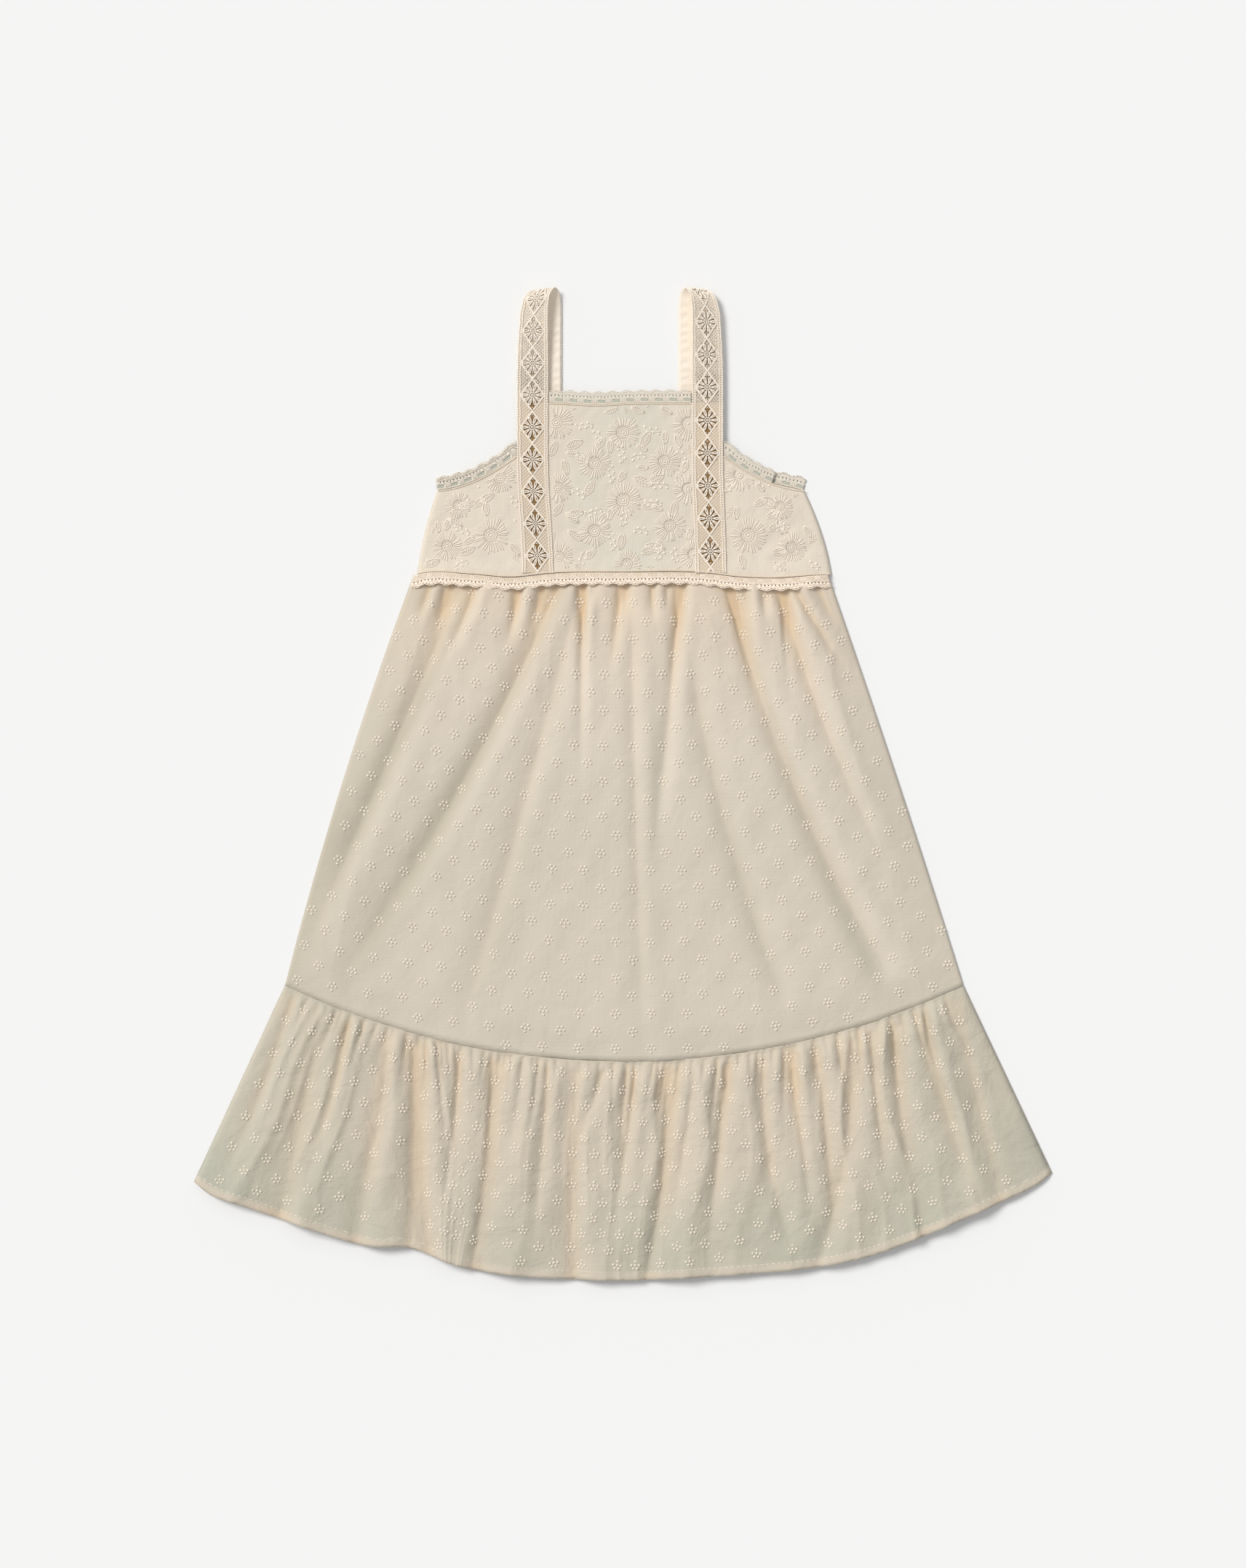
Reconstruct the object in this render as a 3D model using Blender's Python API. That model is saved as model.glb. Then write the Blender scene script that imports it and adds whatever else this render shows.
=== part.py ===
"""A child's sleeveless maxi dress of cream cotton, laid flat with its front up.

Sizes are in millimetres on the garment: +X to the right as it lies, +Y from hem to straps, +Z up from
the surface. The back panels rest flat on the surface and the front panels lie on them with their folds.
"""

import math

import bpy
import numpy as np

MM = 0.001

# Layers, from the resting surface up
CLOTH = 1.2  # wall that stands for the cotton lawn
TRIM = 1.0  # wall of lace and of the strap's cloth
SEAM_GAP = 0.3  # between two pieces that are sewn together
FRONT_REST = CLOTH + SEAM_GAP  # the inner face of the front where it lies on the back
STEEPEST = 1.5  # the most that a slope thickens the wall, measured upright

# Skirt: a flared panel gathered into the waist, its lower edge cut as an arc
WAIST_Y = 166.5
WAIST_LEFT, WAIST_RIGHT = -167.0, 163.5
SKIRT_SEAM_X, SKIRT_SEAM_Y, SKIRT_SEAM_RADIUS = 1.2, 414.4, 635.7
SKIRT_LOW_LEFT, SKIRT_LOW_RIGHT = -269.4, 271.4
SKIRT_GUIDES = (  # lines that the main folds follow: x at the waist, at 0.45 of the way down, and at the flounce
    (WAIST_LEFT, -218.0, SKIRT_LOW_LEFT),
    (-126.0, -192.0, -257.0),
    (-47.0, -128.0, -238.0),
    (-32.0, -77.0, -131.0),
    (6.0, 9.5, 16.0),
    (46.0, 76.0, 134.0),
    (83.0, 136.0, 214.0),
    (122.0, 174.0, 246.0),
    (WAIST_RIGHT, 213.6, SKIRT_LOW_RIGHT),
)
SKIRT_COLUMNS = (7, 13, 11, 9, 9, 9, 8, 7)  # from one line to the next

# Flounce: a strip gathered onto the skirt's lower edge
HEM_HALF_WIDTH = 342.0
FLOUNCE_GUIDES = (  # x at the seam and at the hem
    (SKIRT_LOW_LEFT, -HEM_HALF_WIDTH),
    (-240.0, -298.0),
    (-186.0, -230.0),
    (-158.0, -150.0),
    (-104.0, -128.0),
    (-38.0, -40.0),
    (35.0, 11.0),
    (83.0, 64.0),
    (153.0, 168.0),
    (216.0, 243.0),
    (262.0, 310.0),
    (SKIRT_LOW_RIGHT, HEM_HALF_WIDTH),
)
HEM_BAND = 8.0  # depth of the turned hem
HEM_BAND_RISE = 0.35
HEM_LINE = {  # the hem as it lies, with the step where one wave laps over the next
    "x": (-342, -332, -305, -253, -201, -166, -152, -130, -97, -44, 8, 60, 112, 164, 199, 234, 269, 304, 333, 342),
    "y": (-317, -325, -335, -353, -368, -370, -376, -384, -390, -394, -395, -392.5, -389, -383, -375, -362, -347,
          -331.5, -317, -310),
}

# Bodice
BODICE_LOW_Y = 166.8
NECK_Y = 303.6
ARM_CORNER_Y, ARM_RISE, ARM_POWER = 234.2, 27.8, 1.75
ARM_CORNER_X, SIDE_LOW_X = 146.0, 165.2  # either side of the bodice's middle line
BODICE_SIDE_BULGE = 2.5
BODICE_LOFT = 1.3  # the front's rise over the strap ends inside it
WAIST_LOFT = 2.3  # the bodice's lower edge over the waist lace
BACK_CORNER_Y, BACK_RISE = 233.7, 14.0

# Straps and the lace band on them
BAND_WIDTH = 24.6
STRAP_CLOTH_WIDTH = 23.4
BAND_START_Y = 167.4
DAISY_PITCH = {"left": 25.6, "right": 26.1}
FIRST_DAISY = {"left": 14.4, "right": 18.0}
DAISIES = 8
PETALS = 10
DAISY_RISE = 0.9
STRAP_END_Y = 226.0

# Edging lace
EDGING_PITCH = 11.6
EDGING_LUMP = 4.9  # the worked part of each repeat, and the rest of it is a gap
EDGING_ROWS = (0.0, 1.0, 3.2)  # foot, and the gap's lower and upper edges
EDGING_CREST, EDGING_NOTCH = 10.7, 9.0

CREAM = (0.80, 0.70, 0.56, 1.0)
LACE_CREAM = (0.78, 0.67, 0.52, 1.0)


def clear_scene():
    for obj in list(bpy.data.objects):
        bpy.data.objects.remove(obj, do_unlink=True)


def cotton(name, colour):
    material = bpy.data.materials.new(name)
    material.use_nodes = True
    shader = material.node_tree.nodes["Principled BSDF"]
    shader.inputs["Base Color"].default_value = colour
    shader.inputs["Roughness"].default_value = 0.85
    shader.inputs["Metallic"].default_value = 0.0
    return material


def ease(t):
    """0 below 0, 1 above 1, and a smooth S between."""
    t = np.clip(t, 0.0, 1.0)
    return t * t * (3.0 - 2.0 * t)


def mix(a, b, t):
    return a + (b - a) * t


def smooth_through(x, xs, ys):
    """A curve through the points (xs, ys), each stretch a cubic whose end slopes are the neighbours' chord."""
    xs, ys = np.asarray(xs, float), np.asarray(ys, float)
    slope = np.gradient(ys, xs)
    k = np.clip(np.searchsorted(xs, x, side="right") - 1, 0, len(xs) - 2)
    width = xs[k + 1] - xs[k]
    t = np.clip((x - xs[k]) / width, 0.0, 1.0)
    return (
        ys[k] * (1 + 2 * t) * (1 - t) ** 2
        + slope[k] * width * t * (1 - t) ** 2
        + ys[k + 1] * t * t * (3 - 2 * t)
        + slope[k + 1] * width * t * t * (t - 1)
    )


# Plan of the panels, seen from above

def skirt_seam_y(x):
    return SKIRT_SEAM_Y - np.sqrt(SKIRT_SEAM_RADIUS**2 - (x - SKIRT_SEAM_X) ** 2)


def between_guides(u, guides, width):
    """x at the share u of a panel's upper edge: the guides' upper places divide it, and width picks their places."""
    return np.interp(u, (guides[:, 0] - guides[0, 0]) / (guides[-1, 0] - guides[0, 0]), width)


def skirt_plan(u, v):
    """u runs from left to right along the waist, and v from the waist to the flounce, along the main folds."""
    guides = np.array(SKIRT_GUIDES)
    x = np.empty_like(u)
    for k in range(u.shape[1]):
        t = v[0, k]
        at_v = (
            guides[:, 0] * (1 - t) * (1 - t / 0.45)
            + guides[:, 1] * t * (1 - t) / (0.45 * 0.55)
            + guides[:, 2] * t * (t - 0.45) / 0.55
        )
        x[:, k] = between_guides(u[:, k], guides, at_v)
    low_y = skirt_seam_y(between_guides(u, guides, guides[:, 2])) + SEAM_GAP / 2
    return x, mix(WAIST_Y, low_y, v)


def flounce_plan(u, v):
    """v runs from the skirt's seam to the hem, along the main folds."""
    guides = np.array(FLOUNCE_GUIDES)
    top_x = mix(SKIRT_LOW_LEFT, SKIRT_LOW_RIGHT, u)
    top_y = skirt_seam_y(top_x) - SEAM_GAP / 2
    hem_x = between_guides(u, guides, guides[:, 1])
    hem_y = smooth_through(hem_x, HEM_LINE["x"], HEM_LINE["y"])
    return mix(top_x, hem_x, v), mix(top_y, hem_y, v)


def bodice_middle(y):
    """The bodice lies a little askew: its middle line leans from the waist to the armholes."""
    return mix(1.0, -2.4, ease((y - BODICE_LOW_Y) / 95.0))


def band_outer_edge(y):
    """Distance from the middle line to the outer edge of a lace band."""
    return mix(81.2, 82.0, ease((y - BODICE_LOW_Y) / 95.0))


def bodice_edge(y):
    """Distance from the middle line to the bodice's outer edge beside the strap, just inside the lace band's."""
    return band_outer_edge(y) - 0.6


def armhole_y(distance):
    """Height of the armhole seam at a distance from the middle line."""
    inner = bodice_edge(ARM_CORNER_Y + ARM_RISE)
    along = np.clip((ARM_CORNER_X - distance) / (ARM_CORNER_X - inner), 0.0, 1.0)
    return ARM_CORNER_Y + ARM_RISE * along**ARM_POWER


def back_top_y(distance):
    """Height of the back's upper edge at a distance from the middle line."""
    return BACK_CORNER_Y + BACK_RISE * (1 - np.exp(-(ARM_CORNER_X - distance) / 48.0))


def neck_y(x):
    return NECK_Y - 1.6 * np.exp(-(((x + 22.0) / 22.0) ** 2))


# Folds. Each row is one gather or fold of the front: where its trough starts on the upper seam, where it
# is halfway down its reach, where it ends, how far down it reaches, its depth at the top, halfway and at
# its end, and how wide its left and right slopes are.
FOLD_COLUMNS = ("top_x", "half_x", "end_x", "reach", "top_depth", "half_depth", "end_depth", "left", "right")
SKIRT_FOLDS = (
    (-152, -157, -163, 36, 2.5, 2.0, 0.5, 5, 4),
    (-136, -142, -149, 46, 2.5, 2.5, 1.0, 6, 4),
    (-126, -184, -246, 280, 2.5, 5.0, 3.0, 17, 7),
    (-115, -126, -143, 68, 3.5, 3.0, 1.0, 6, 5),
    (-82, -86, -93, 58, 4.0, 3.0, 1.0, 5, 5),
    (-62, -68, -76, 50, 3.0, 2.0, 0.5, 5, 4),
    (-47, -123, -219, 315, 3.5, 5.0, 3.0, 14, 6),
    (-33, -33, -34, 155, 6.5, 2.2, 0.8, 5, 4),
    (-32, -77, -126, 352, 0.5, 3.2, 2.4, 13, 7),
    (-24, -25, -27, 30, 2.5, 1.5, 0.3, 4, 4),
    (0, -5, -11, 80, 4.5, 3.0, 1.0, 6, 5),
    (6, 10, 16, 372, 1.5, 2.4, 1.4, 8, 6),
    (22, 23, 25, 38, 3.0, 2.0, 0.5, 5, 4),
    (35, 35, 34, 32, 2.5, 1.5, 0.5, 4, 4),
    (45, 36, 23, 232, 5.0, 2.6, 1.0, 6, 6),
    (46, 74, 127, 336, 0.5, 2.8, 2.0, 10, 7),
    (83, 130, 205, 306, 5.0, 4.6, 3.0, 10, 6),
    (97, 100, 104, 52, 3.0, 2.0, 0.5, 5, 4),
    (112, 112, 113, 38, 3.0, 2.0, 0.5, 4, 4),
    (122, 158, 208, 226, 5.0, 3.6, 1.5, 9, 6),
    (131, 154, 181, 80, 3.0, 3.0, 1.2, 6, 5),
    (153, 163, 175, 52, 2.5, 2.5, 0.8, 6, 4),
)
FLOUNCE_FOLDS = (
    (-240, -262, -291, 262, 2.0, 3.5, 4.5, 20, 6),
    (-186, -202, -225, 236, 3.0, 3.0, 3.2, 10, 8),
    (-169, -166, -178, 214, 4.0, 3.0, 1.5, 6, 6),
    (-158, -158, -148, 222, 3.0, 4.0, 5.0, 9, 4),
    (-104, -110, -125, 208, 5.0, 4.5, 3.5, 3.5, 12),
    (-79, -84, -92, 80, 3.0, 2.0, 0.5, 5, 5),
    (-38, -40, -39, 196, 3.0, 4.0, 5.0, 9, 5),
    (-13, -24, -36, 66, 3.5, 2.5, 0.5, 5, 5),
    (35, 31, 12, 198, 5.0, 4.5, 4.0, 4, 11),
    (83, 75, 66, 170, 4.0, 3.0, 1.0, 5, 8),
    (112, 116, 137, 168, 3.0, 3.0, 2.0, 7, 7),
    (153, 162, 167, 150, 4.0, 3.0, 1.5, 7, 6),
    (180, 177, 147, 202, 2.5, 3.0, 2.5, 9, 8),
    (216, 223, 241, 190, 3.0, 3.2, 2.8, 6, 9),
    (262, 285, 308, 196, 3.0, 3.0, 2.6, 9, 6),
)
FLOUNCE_GATHERS = 54  # small gathers along the flounce's seam


def fold_depth(x, drop, folds):
    """How far each fold lowers the cloth at x, drop below the upper seam: a trough with a softer ridge to its right."""
    lowered = np.zeros_like(x)
    for row in folds:
        fold = dict(zip(FOLD_COLUMNS, row))
        t = np.clip(drop / fold["reach"], 0.0, 1.3)
        centre = (
            fold["top_x"] * (1 - t) * (1 - 2 * t) + fold["half_x"] * 4 * t * (1 - t) + fold["end_x"] * t * (2 * t - 1)
        )
        centre = np.where(t > 1, fold["end_x"], centre)
        depth = np.where(
            t < 0.5,
            mix(fold["top_depth"], fold["half_depth"], ease(2 * t)),
            mix(fold["half_depth"], fold["end_depth"], ease(2 * t - 1)),
        )
        depth = depth * (1 - ease((drop / fold["reach"] - 0.82) / 0.36))
        away = x - centre
        width = np.where(away < 0, fold["left"], fold["right"]) * mix(0.8, 1.15, t / 1.3)
        trough = np.exp(-np.abs(away / width) ** 1.5)
        ridge = np.exp(-(((away - 2.1 * width) / (1.3 * width)) ** 2)) * (away > 0)
        lowered += depth * (trough - 0.28 * ridge)
    return lowered


def side_fade(u, distance_left, distance_right):
    """1 over the panel and 0 at its side seams, rising straight over a short way in from each."""
    return np.clip(np.minimum(u * distance_left, (1 - u) * distance_right), 0.0, 1.0)


def skirt_rise(x, y, u):
    """Height of the front skirt's inner face above where it would lie flat."""
    drop = WAIST_Y - y
    room = skirt_seam_y(x) - y
    loft = 0.6 + 0.30 * drop
    loft = np.where(drop > 11, 3.9 + 2.9 * ease((drop - 11) / 30) - 2.6 * ease((drop - 70) / 260), loft)
    loft = mix(1.4, loft, ease(-room / 30))
    shaped = loft - fold_depth(x, drop, SKIRT_FOLDS) * ease(drop / 9.0) * ease(-room / 26 + 0.12)
    return side_fade(u, 15.0, 15.0) * soft_floor(shaped)


def soft_floor(height):
    """The height kept above zero with a rounded corner, as cloth that comes to lie on the layer below."""
    return 0.5 * (height + np.sqrt(height**2 + 0.5))


def flounce_rise(x, y, u, v):
    drop = skirt_seam_y(np.clip(x, SKIRT_LOW_LEFT, SKIRT_LOW_RIGHT)) - y
    loft = mix(1.3, 5.0, ease(drop / 24.0))
    along = u + 0.0060 * np.sin(2 * math.pi * 7 * u + 1.0) + 0.0032 * np.sin(2 * math.pi * 17 * u)
    small = np.abs(np.sin(math.pi * FLOUNCE_GATHERS * along)) ** 0.8
    uneven = 0.65 + 0.35 * np.sin(2 * math.pi * 11 * u + 0.6)
    gather = 3.4 * uneven * ease(drop / 5.0) * (1 - ease((drop - 8) / (34 + 22 * np.sin(2 * math.pi * 5 * u))))
    shaped = loft + gather * (small - 0.6) - fold_depth(x, drop, FLOUNCE_FOLDS) * ease(drop / 12.0)
    return side_fade(u, 18.0, 18.0) * soft_floor(shaped)


def bodice_rise(x, y):
    """Height of the front bodice: low at the side seams, over the straps' ends inside, lifted at the waist."""
    away = np.abs(x - bodice_middle(y))
    edge = mix(ARM_CORNER_X, SIDE_LOW_X, np.clip((ARM_CORNER_Y - y) / (ARM_CORNER_Y - BODICE_LOW_Y), 0, 1))
    inward = ease((edge - away) / 48.0)
    waves = 0.35 * np.sin(x / 23.0 + 0.5) * np.sin(y / 31.0 + 1.0) + 0.25 * np.sin((x + 0.6 * y) / 17.0)
    waist = WAIST_LOFT * (1 - ease((y - BODICE_LOW_Y) / 16.0)) * np.clip((edge - away) / 22.0, 0.0, 1.0)
    return inward * (BODICE_LOFT + 0.35 + 0.6 * waves) + waist * (1 - 0.4 * inward)


# Meshes

def add_object(name, points, faces, material):
    """One closed body from points in millimetres and polygons, turned right side out."""
    points = np.asarray(points, float)
    volume = 0.0
    for face in faces:
        a = points[face[0]]
        for i in range(1, len(face) - 1):
            volume += np.dot(a, np.cross(points[face[i]], points[face[i + 1]]))
    if volume < 0:
        faces = [face[::-1] for face in faces]
    mesh = bpy.data.meshes.new(name)
    mesh.from_pydata((points * MM).tolist(), [], [list(map(int, face)) for face in faces])
    mesh.validate()
    mesh.materials.append(material)
    mesh.shade_smooth()
    mesh.set_sharp_from_angle(angle=math.radians(40))
    obj = bpy.data.objects.new(name, mesh)
    bpy.context.scene.collection.objects.link(obj)
    return obj


def wall(name, outer, inner, material, gaps=(), lean=None):
    """A sheet between two matching grids of points, closed round its edge and round each gap.

    gaps lists the cells (i, j) that are cut through. lean says for each cell which way its diagonal runs.
    """
    rows, columns = outer.shape[:2]
    points = np.concatenate([outer.reshape(-1, 3), inner.reshape(-1, 3)])
    under = rows * columns
    gaps = set(gaps)
    faces = []

    def corner(i, j):
        return i * columns + j

    def solid(i, j):
        return 0 <= i < rows - 1 and 0 <= j < columns - 1 and (i, j) not in gaps

    for i in range(rows - 1):
        for j in range(columns - 1):
            if not solid(i, j):
                continue
            a, b, c, d = corner(i, j), corner(i + 1, j), corner(i + 1, j + 1), corner(i, j + 1)
            halves = [(a, b, c), (a, c, d)] if lean is None or lean[i, j] else [(a, b, d), (b, c, d)]
            for half in halves:
                faces.append(half)
                faces.append(tuple(under + p for p in half[::-1]))
            for (p, q), beside in (
                ((a, b), (i, j - 1)), ((b, c), (i + 1, j)), ((c, d), (i, j + 1)), ((d, a), (i - 1, j)),
            ):
                if not solid(*beside):
                    faces.append((q, p, under + p, under + q))
    used = sorted({p for face in faces for p in face})
    place = {p: k for k, p in enumerate(used)}
    return add_object(name, points[used], [tuple(place[p] for p in face) for face in faces], material)


def upright_thickness(inner):
    """The wall's height measured upright so that it is CLOTH thick square to its slope."""
    across = np.gradient(inner, axis=0)
    down = np.gradient(inner, axis=1)
    normal = np.cross(across, down)
    normal /= np.linalg.norm(normal, axis=2, keepdims=True)
    return CLOTH * np.minimum(1.0 / np.maximum(np.abs(normal[..., 2]), 1e-6), STEEPEST)


def fold_lean(x, middle):
    """Diagonals run with the folds, which fan out to both sides."""
    cell_x = 0.25 * (x[:-1, :-1] + x[1:, :-1] + x[1:, 1:] + x[:-1, 1:])
    return cell_x > middle


def panel_grid(plan, rise, u_values, v_values):
    u, v = np.meshgrid(u_values, v_values, indexing="ij")
    x, y = plan(u, v)
    inner = np.stack([x, y, FRONT_REST + rise(x, y, u, v)], axis=2)
    outer = inner.copy()
    outer[..., 2] += upright_thickness(inner)
    return inner, outer


def build_skirt(material):
    lines = (np.array(SKIRT_GUIDES)[:, 0] - WAIST_LEFT) / (WAIST_RIGHT - WAIST_LEFT)
    u = np.concatenate([
        np.linspace(lines[k], lines[k + 1], columns, endpoint=False) for k, columns in enumerate(SKIRT_COLUMNS)
    ] + [[1.0]])
    v = np.array([0, 0.030, 0.06, 0.10, 0.155, 0.22, 0.30, 0.39, 0.49, 0.59, 0.70, 0.81, 0.92, 1.0])
    inner, outer = panel_grid(skirt_plan, lambda x, y, u, v: skirt_rise(x, y, u), u, v)
    wall("skirt_front", outer, inner, material, lean=fold_lean(outer[..., 0], SKIRT_SEAM_X))
    flat_panel("skirt_back", skirt_plan, np.linspace(0, 1, 29), np.linspace(0, 1, 4), material)


def build_flounce(material):
    u = np.linspace(0, 1, 2 * FLOUNCE_GATHERS + 1)
    hem_share = HEM_BAND / 232.0
    v = np.array([0, 0.035, 0.09, 0.20, 0.42, 0.70, 1 - hem_share, 1.0])
    inner, outer = panel_grid(flounce_plan, flounce_rise, u, v)
    outer[:, -2:, 2] += HEM_BAND_RISE
    wall("flounce_front", outer, inner, material, lean=fold_lean(outer[..., 0], 0.0))
    flat_panel("flounce_back", flounce_plan, np.linspace(0, 1, 41), np.array([0, 0.5, 1.0]), material)


def flat_panel(name, plan, u_values, v_values, material):
    """A back panel, which rests flat on the surface."""
    u, v = np.meshgrid(u_values, v_values, indexing="ij")
    x, y = plan(u, v)
    low = np.stack([x, y, np.zeros_like(x)], axis=2)
    high = low + np.array([0, 0, CLOTH])
    wall(name, high, low, material)


def side_seam_x(y_share):
    """Distance from the middle line to the bodice's side seam, from the armhole corner down to the waist."""
    return mix(ARM_CORNER_X, SIDE_LOW_X, y_share) + BODICE_SIDE_BULGE * 4 * y_share * (1 - y_share)


def build_bodice(material):
    """The front in one piece, with a raised cord round its neckline and armholes, and the plain back."""
    side, across, neck_rows = 6, 14, 6
    share = np.concatenate([np.linspace(-1, 0, side + 1)[:-1], np.linspace(0, 1, across + 1)])
    share = np.concatenate([share, 1 + np.linspace(0, 1, side + 1)[1:]])  # -1 to 0 left side, 0 to 1 centre, 1 to 2
    corner_y = ARM_CORNER_Y + ARM_RISE
    down = np.concatenate([[0.0, 0.006, 0.016], np.linspace(0.09, 0.9, 8), [0.96, 1.0]])
    up = np.array([0.0, 0.014, 0.04, 0.3, 0.6, 0.85])
    rows = []
    for v in list(up) + list(1 + down):
        x, y = np.empty(len(share)), np.empty(len(share))
        for k, u in enumerate(share):
            if 0 <= u <= 1:
                top_x = mix(-bodice_edge(NECK_Y), bodice_edge(NECK_Y), u) + bodice_middle(NECK_Y)
                y[k] = mix(neck_y(top_x), corner_y, v) if v < 1 else mix(corner_y, BODICE_LOW_Y, v - 1)
                x[k] = mix(-bodice_edge(y[k]), bodice_edge(y[k]), u) + bodice_middle(y[k])
            else:
                out = -u if u < 0 else u - 1
                top = mix(bodice_edge(corner_y), ARM_CORNER_X, out)
                y[k] = mix(armhole_y(top), BODICE_LOW_Y, max(v - 1, 0.0))
                away = mix(bodice_edge(y[k]), side_seam_x(max(v - 1, 0.0)), out)
                x[k] = (away if u > 1 else -away) + bodice_middle(y[k])
        rows.append((x, y))
    x = np.stack([row[0] for row in rows], axis=1)
    y = np.stack([row[1] for row in rows], axis=1)
    inner = np.stack([x, y, FRONT_REST + bodice_rise(x, y)], axis=2)
    outer = inner.copy()
    outer[..., 2] += CLOTH
    # The cord stops at the lace bands, which cover the edge there
    away = np.abs(x - bodice_middle(y))
    from_band = np.maximum(away - band_outer_edge(y), band_outer_edge(y) - BAND_WIDTH - away) - 0.4
    cord = np.clip(from_band / 3.0, 0.0, 1.0)
    centre = (share >= 0) & (share <= 1)
    outer[centre, 0, 2] += 0.3 * cord[centre, 0]
    outer[centre, 1, 2] += 0.7 * cord[centre, 1]
    outer[~centre, neck_rows, 2] += 0.3 * cord[~centre, neck_rows]
    outer[~centre, neck_rows + 1, 2] += 0.7 * cord[~centre, neck_rows + 1]
    empty = [(i, j) for i in list(range(side)) + list(range(side + across, len(share) - 1)) for j in range(neck_rows)]
    wall("bodice_front", outer, inner, material, gaps=empty)

    def back_plan(u, v):
        top = ARM_CORNER_X * (2 * u - 1)
        y = mix(back_top_y(np.abs(top)), BODICE_LOW_Y, v)
        return (2 * u - 1) * side_seam_x(v) + bodice_middle(y), y

    flat_panel("bodice_back", back_plan, np.linspace(0, 1, 17), np.linspace(0, 1, 5), material)


# Straps. The strap's cloth is drawn by its two edges: up from the neckline, over in a soft loop that turns
# towards the neck, and down inside the back. Distances are from the bodice's middle line.
STRAP_EDGES = {
    "outer_x": (82.0, 82.0, 81.4, 80.2, 78.3, 75.0, 70.6, 68.6, 69.6, 71.2, 71.2, 71.2, 71.2),
    "outer_y": (303.8, 322.0, 342.0, 362.0, 379.0, 388.2, 391.9, 389.6, 383.5, 365.0, 320.0, 261.0, 226.0),
    "outer_z": (4.1, 4.1, 4.3, 4.7, 5.0, 4.9, 3.7, 2.5, 2.1, 1.85, 1.8, 1.8, 2.1),
    "inner_x": (57.4, 57.3, 57.3, 57.3, 56.9, 55.2, 51.2, 48.2, 47.0, 46.6, 46.6, 46.6, 46.6),
    "inner_y": (303.8, 322.0, 342.0, 362.0, 380.0, 389.6, 394.0, 391.0, 384.0, 365.0, 320.0, 261.0, 226.0),
    "inner_z": (4.1, 4.3, 5.2, 7.0, 8.9, 9.3, 7.0, 4.1, 2.5, 1.9, 1.8, 1.8, 2.1),
}


def strap_surface(sign):
    """Returns (along, place): the mid-surface of a strap and of the virtual cloth under its lace on the bodice.

    along is the distance from the waist up the band, over the loop and down to its end, at each station.
    place(s, t) gives the points and the outward directions at s along the band and t across it.
    """
    on_bodice = np.linspace(BAND_START_Y, 296.0, 9)
    middle = bodice_middle(on_bodice)
    edges = {}
    for edge, inset in (("outer", 0.0), ("inner", BAND_WIDTH)):
        x = band_outer_edge(on_bodice) - inset
        z = FRONT_REST + bodice_rise(sign * x + middle, on_bodice) + CLOTH - TRIM / 2
        strap_x, strap_y, strap_z = (np.array(STRAP_EDGES[f"{edge}_{axis}"]) for axis in "xyz")
        edges[edge] = np.stack([
            np.concatenate([sign * x + middle, sign * strap_x + bodice_middle(NECK_Y)]),
            np.concatenate([on_bodice, strap_y]),
            np.concatenate([z, strap_z]),
        ])
    centre = 0.5 * (edges["outer"] + edges["inner"])
    step = np.linalg.norm(np.diff(centre, axis=1), axis=0)
    along = np.concatenate([[0.0], np.cumsum(step)])

    def at(s, t):
        share = 0.5 - t / BAND_WIDTH
        point = [
            mix(smooth_through(s, along, edges["outer"][k]), smooth_through(s, along, edges["inner"][k]), share)
            for k in range(3)
        ]
        return np.stack(point, axis=-1)

    def place(s, t):
        """t is positive towards the strap's outer edge."""
        s, t = np.broadcast_arrays(np.asarray(s, float), np.asarray(t, float))
        ahead = at(s + 0.2, t) - at(s - 0.2, t)
        across = at(s, t + 0.2) - at(s, t - 0.2)
        normal = np.cross(across, ahead) * sign
        return at(s, t), normal / np.linalg.norm(normal, axis=-1, keepdims=True)

    return along, place


def strap_rows(start, stop, along):
    """Rows close together round the loop at the shoulder and further apart on the straight."""
    loop_start, loop_end = along[13] - 6.0, along[17] + 8.0
    rows = np.concatenate([
        np.arange(along[9], loop_start - 4.0, 10.0),
        np.linspace(loop_start, loop_end, 17),
        np.linspace(loop_end, stop, 7)[1:],
    ])
    return np.concatenate([[start], rows[rows > start + 1.2]])


def build_strap(side, sign, material):
    along, place = strap_surface(sign)
    rows = strap_rows(along[9] + 0.2, along[-1], along)
    across = np.linspace(-STRAP_CLOTH_WIDTH / 2, STRAP_CLOTH_WIDTH / 2, 4)
    s, t = np.meshgrid(rows, across, indexing="ij")
    middle, normal = place(s, t)
    wall(f"strap_{side}", middle + normal * TRIM / 2, middle - normal * TRIM / 2, material)


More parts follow.
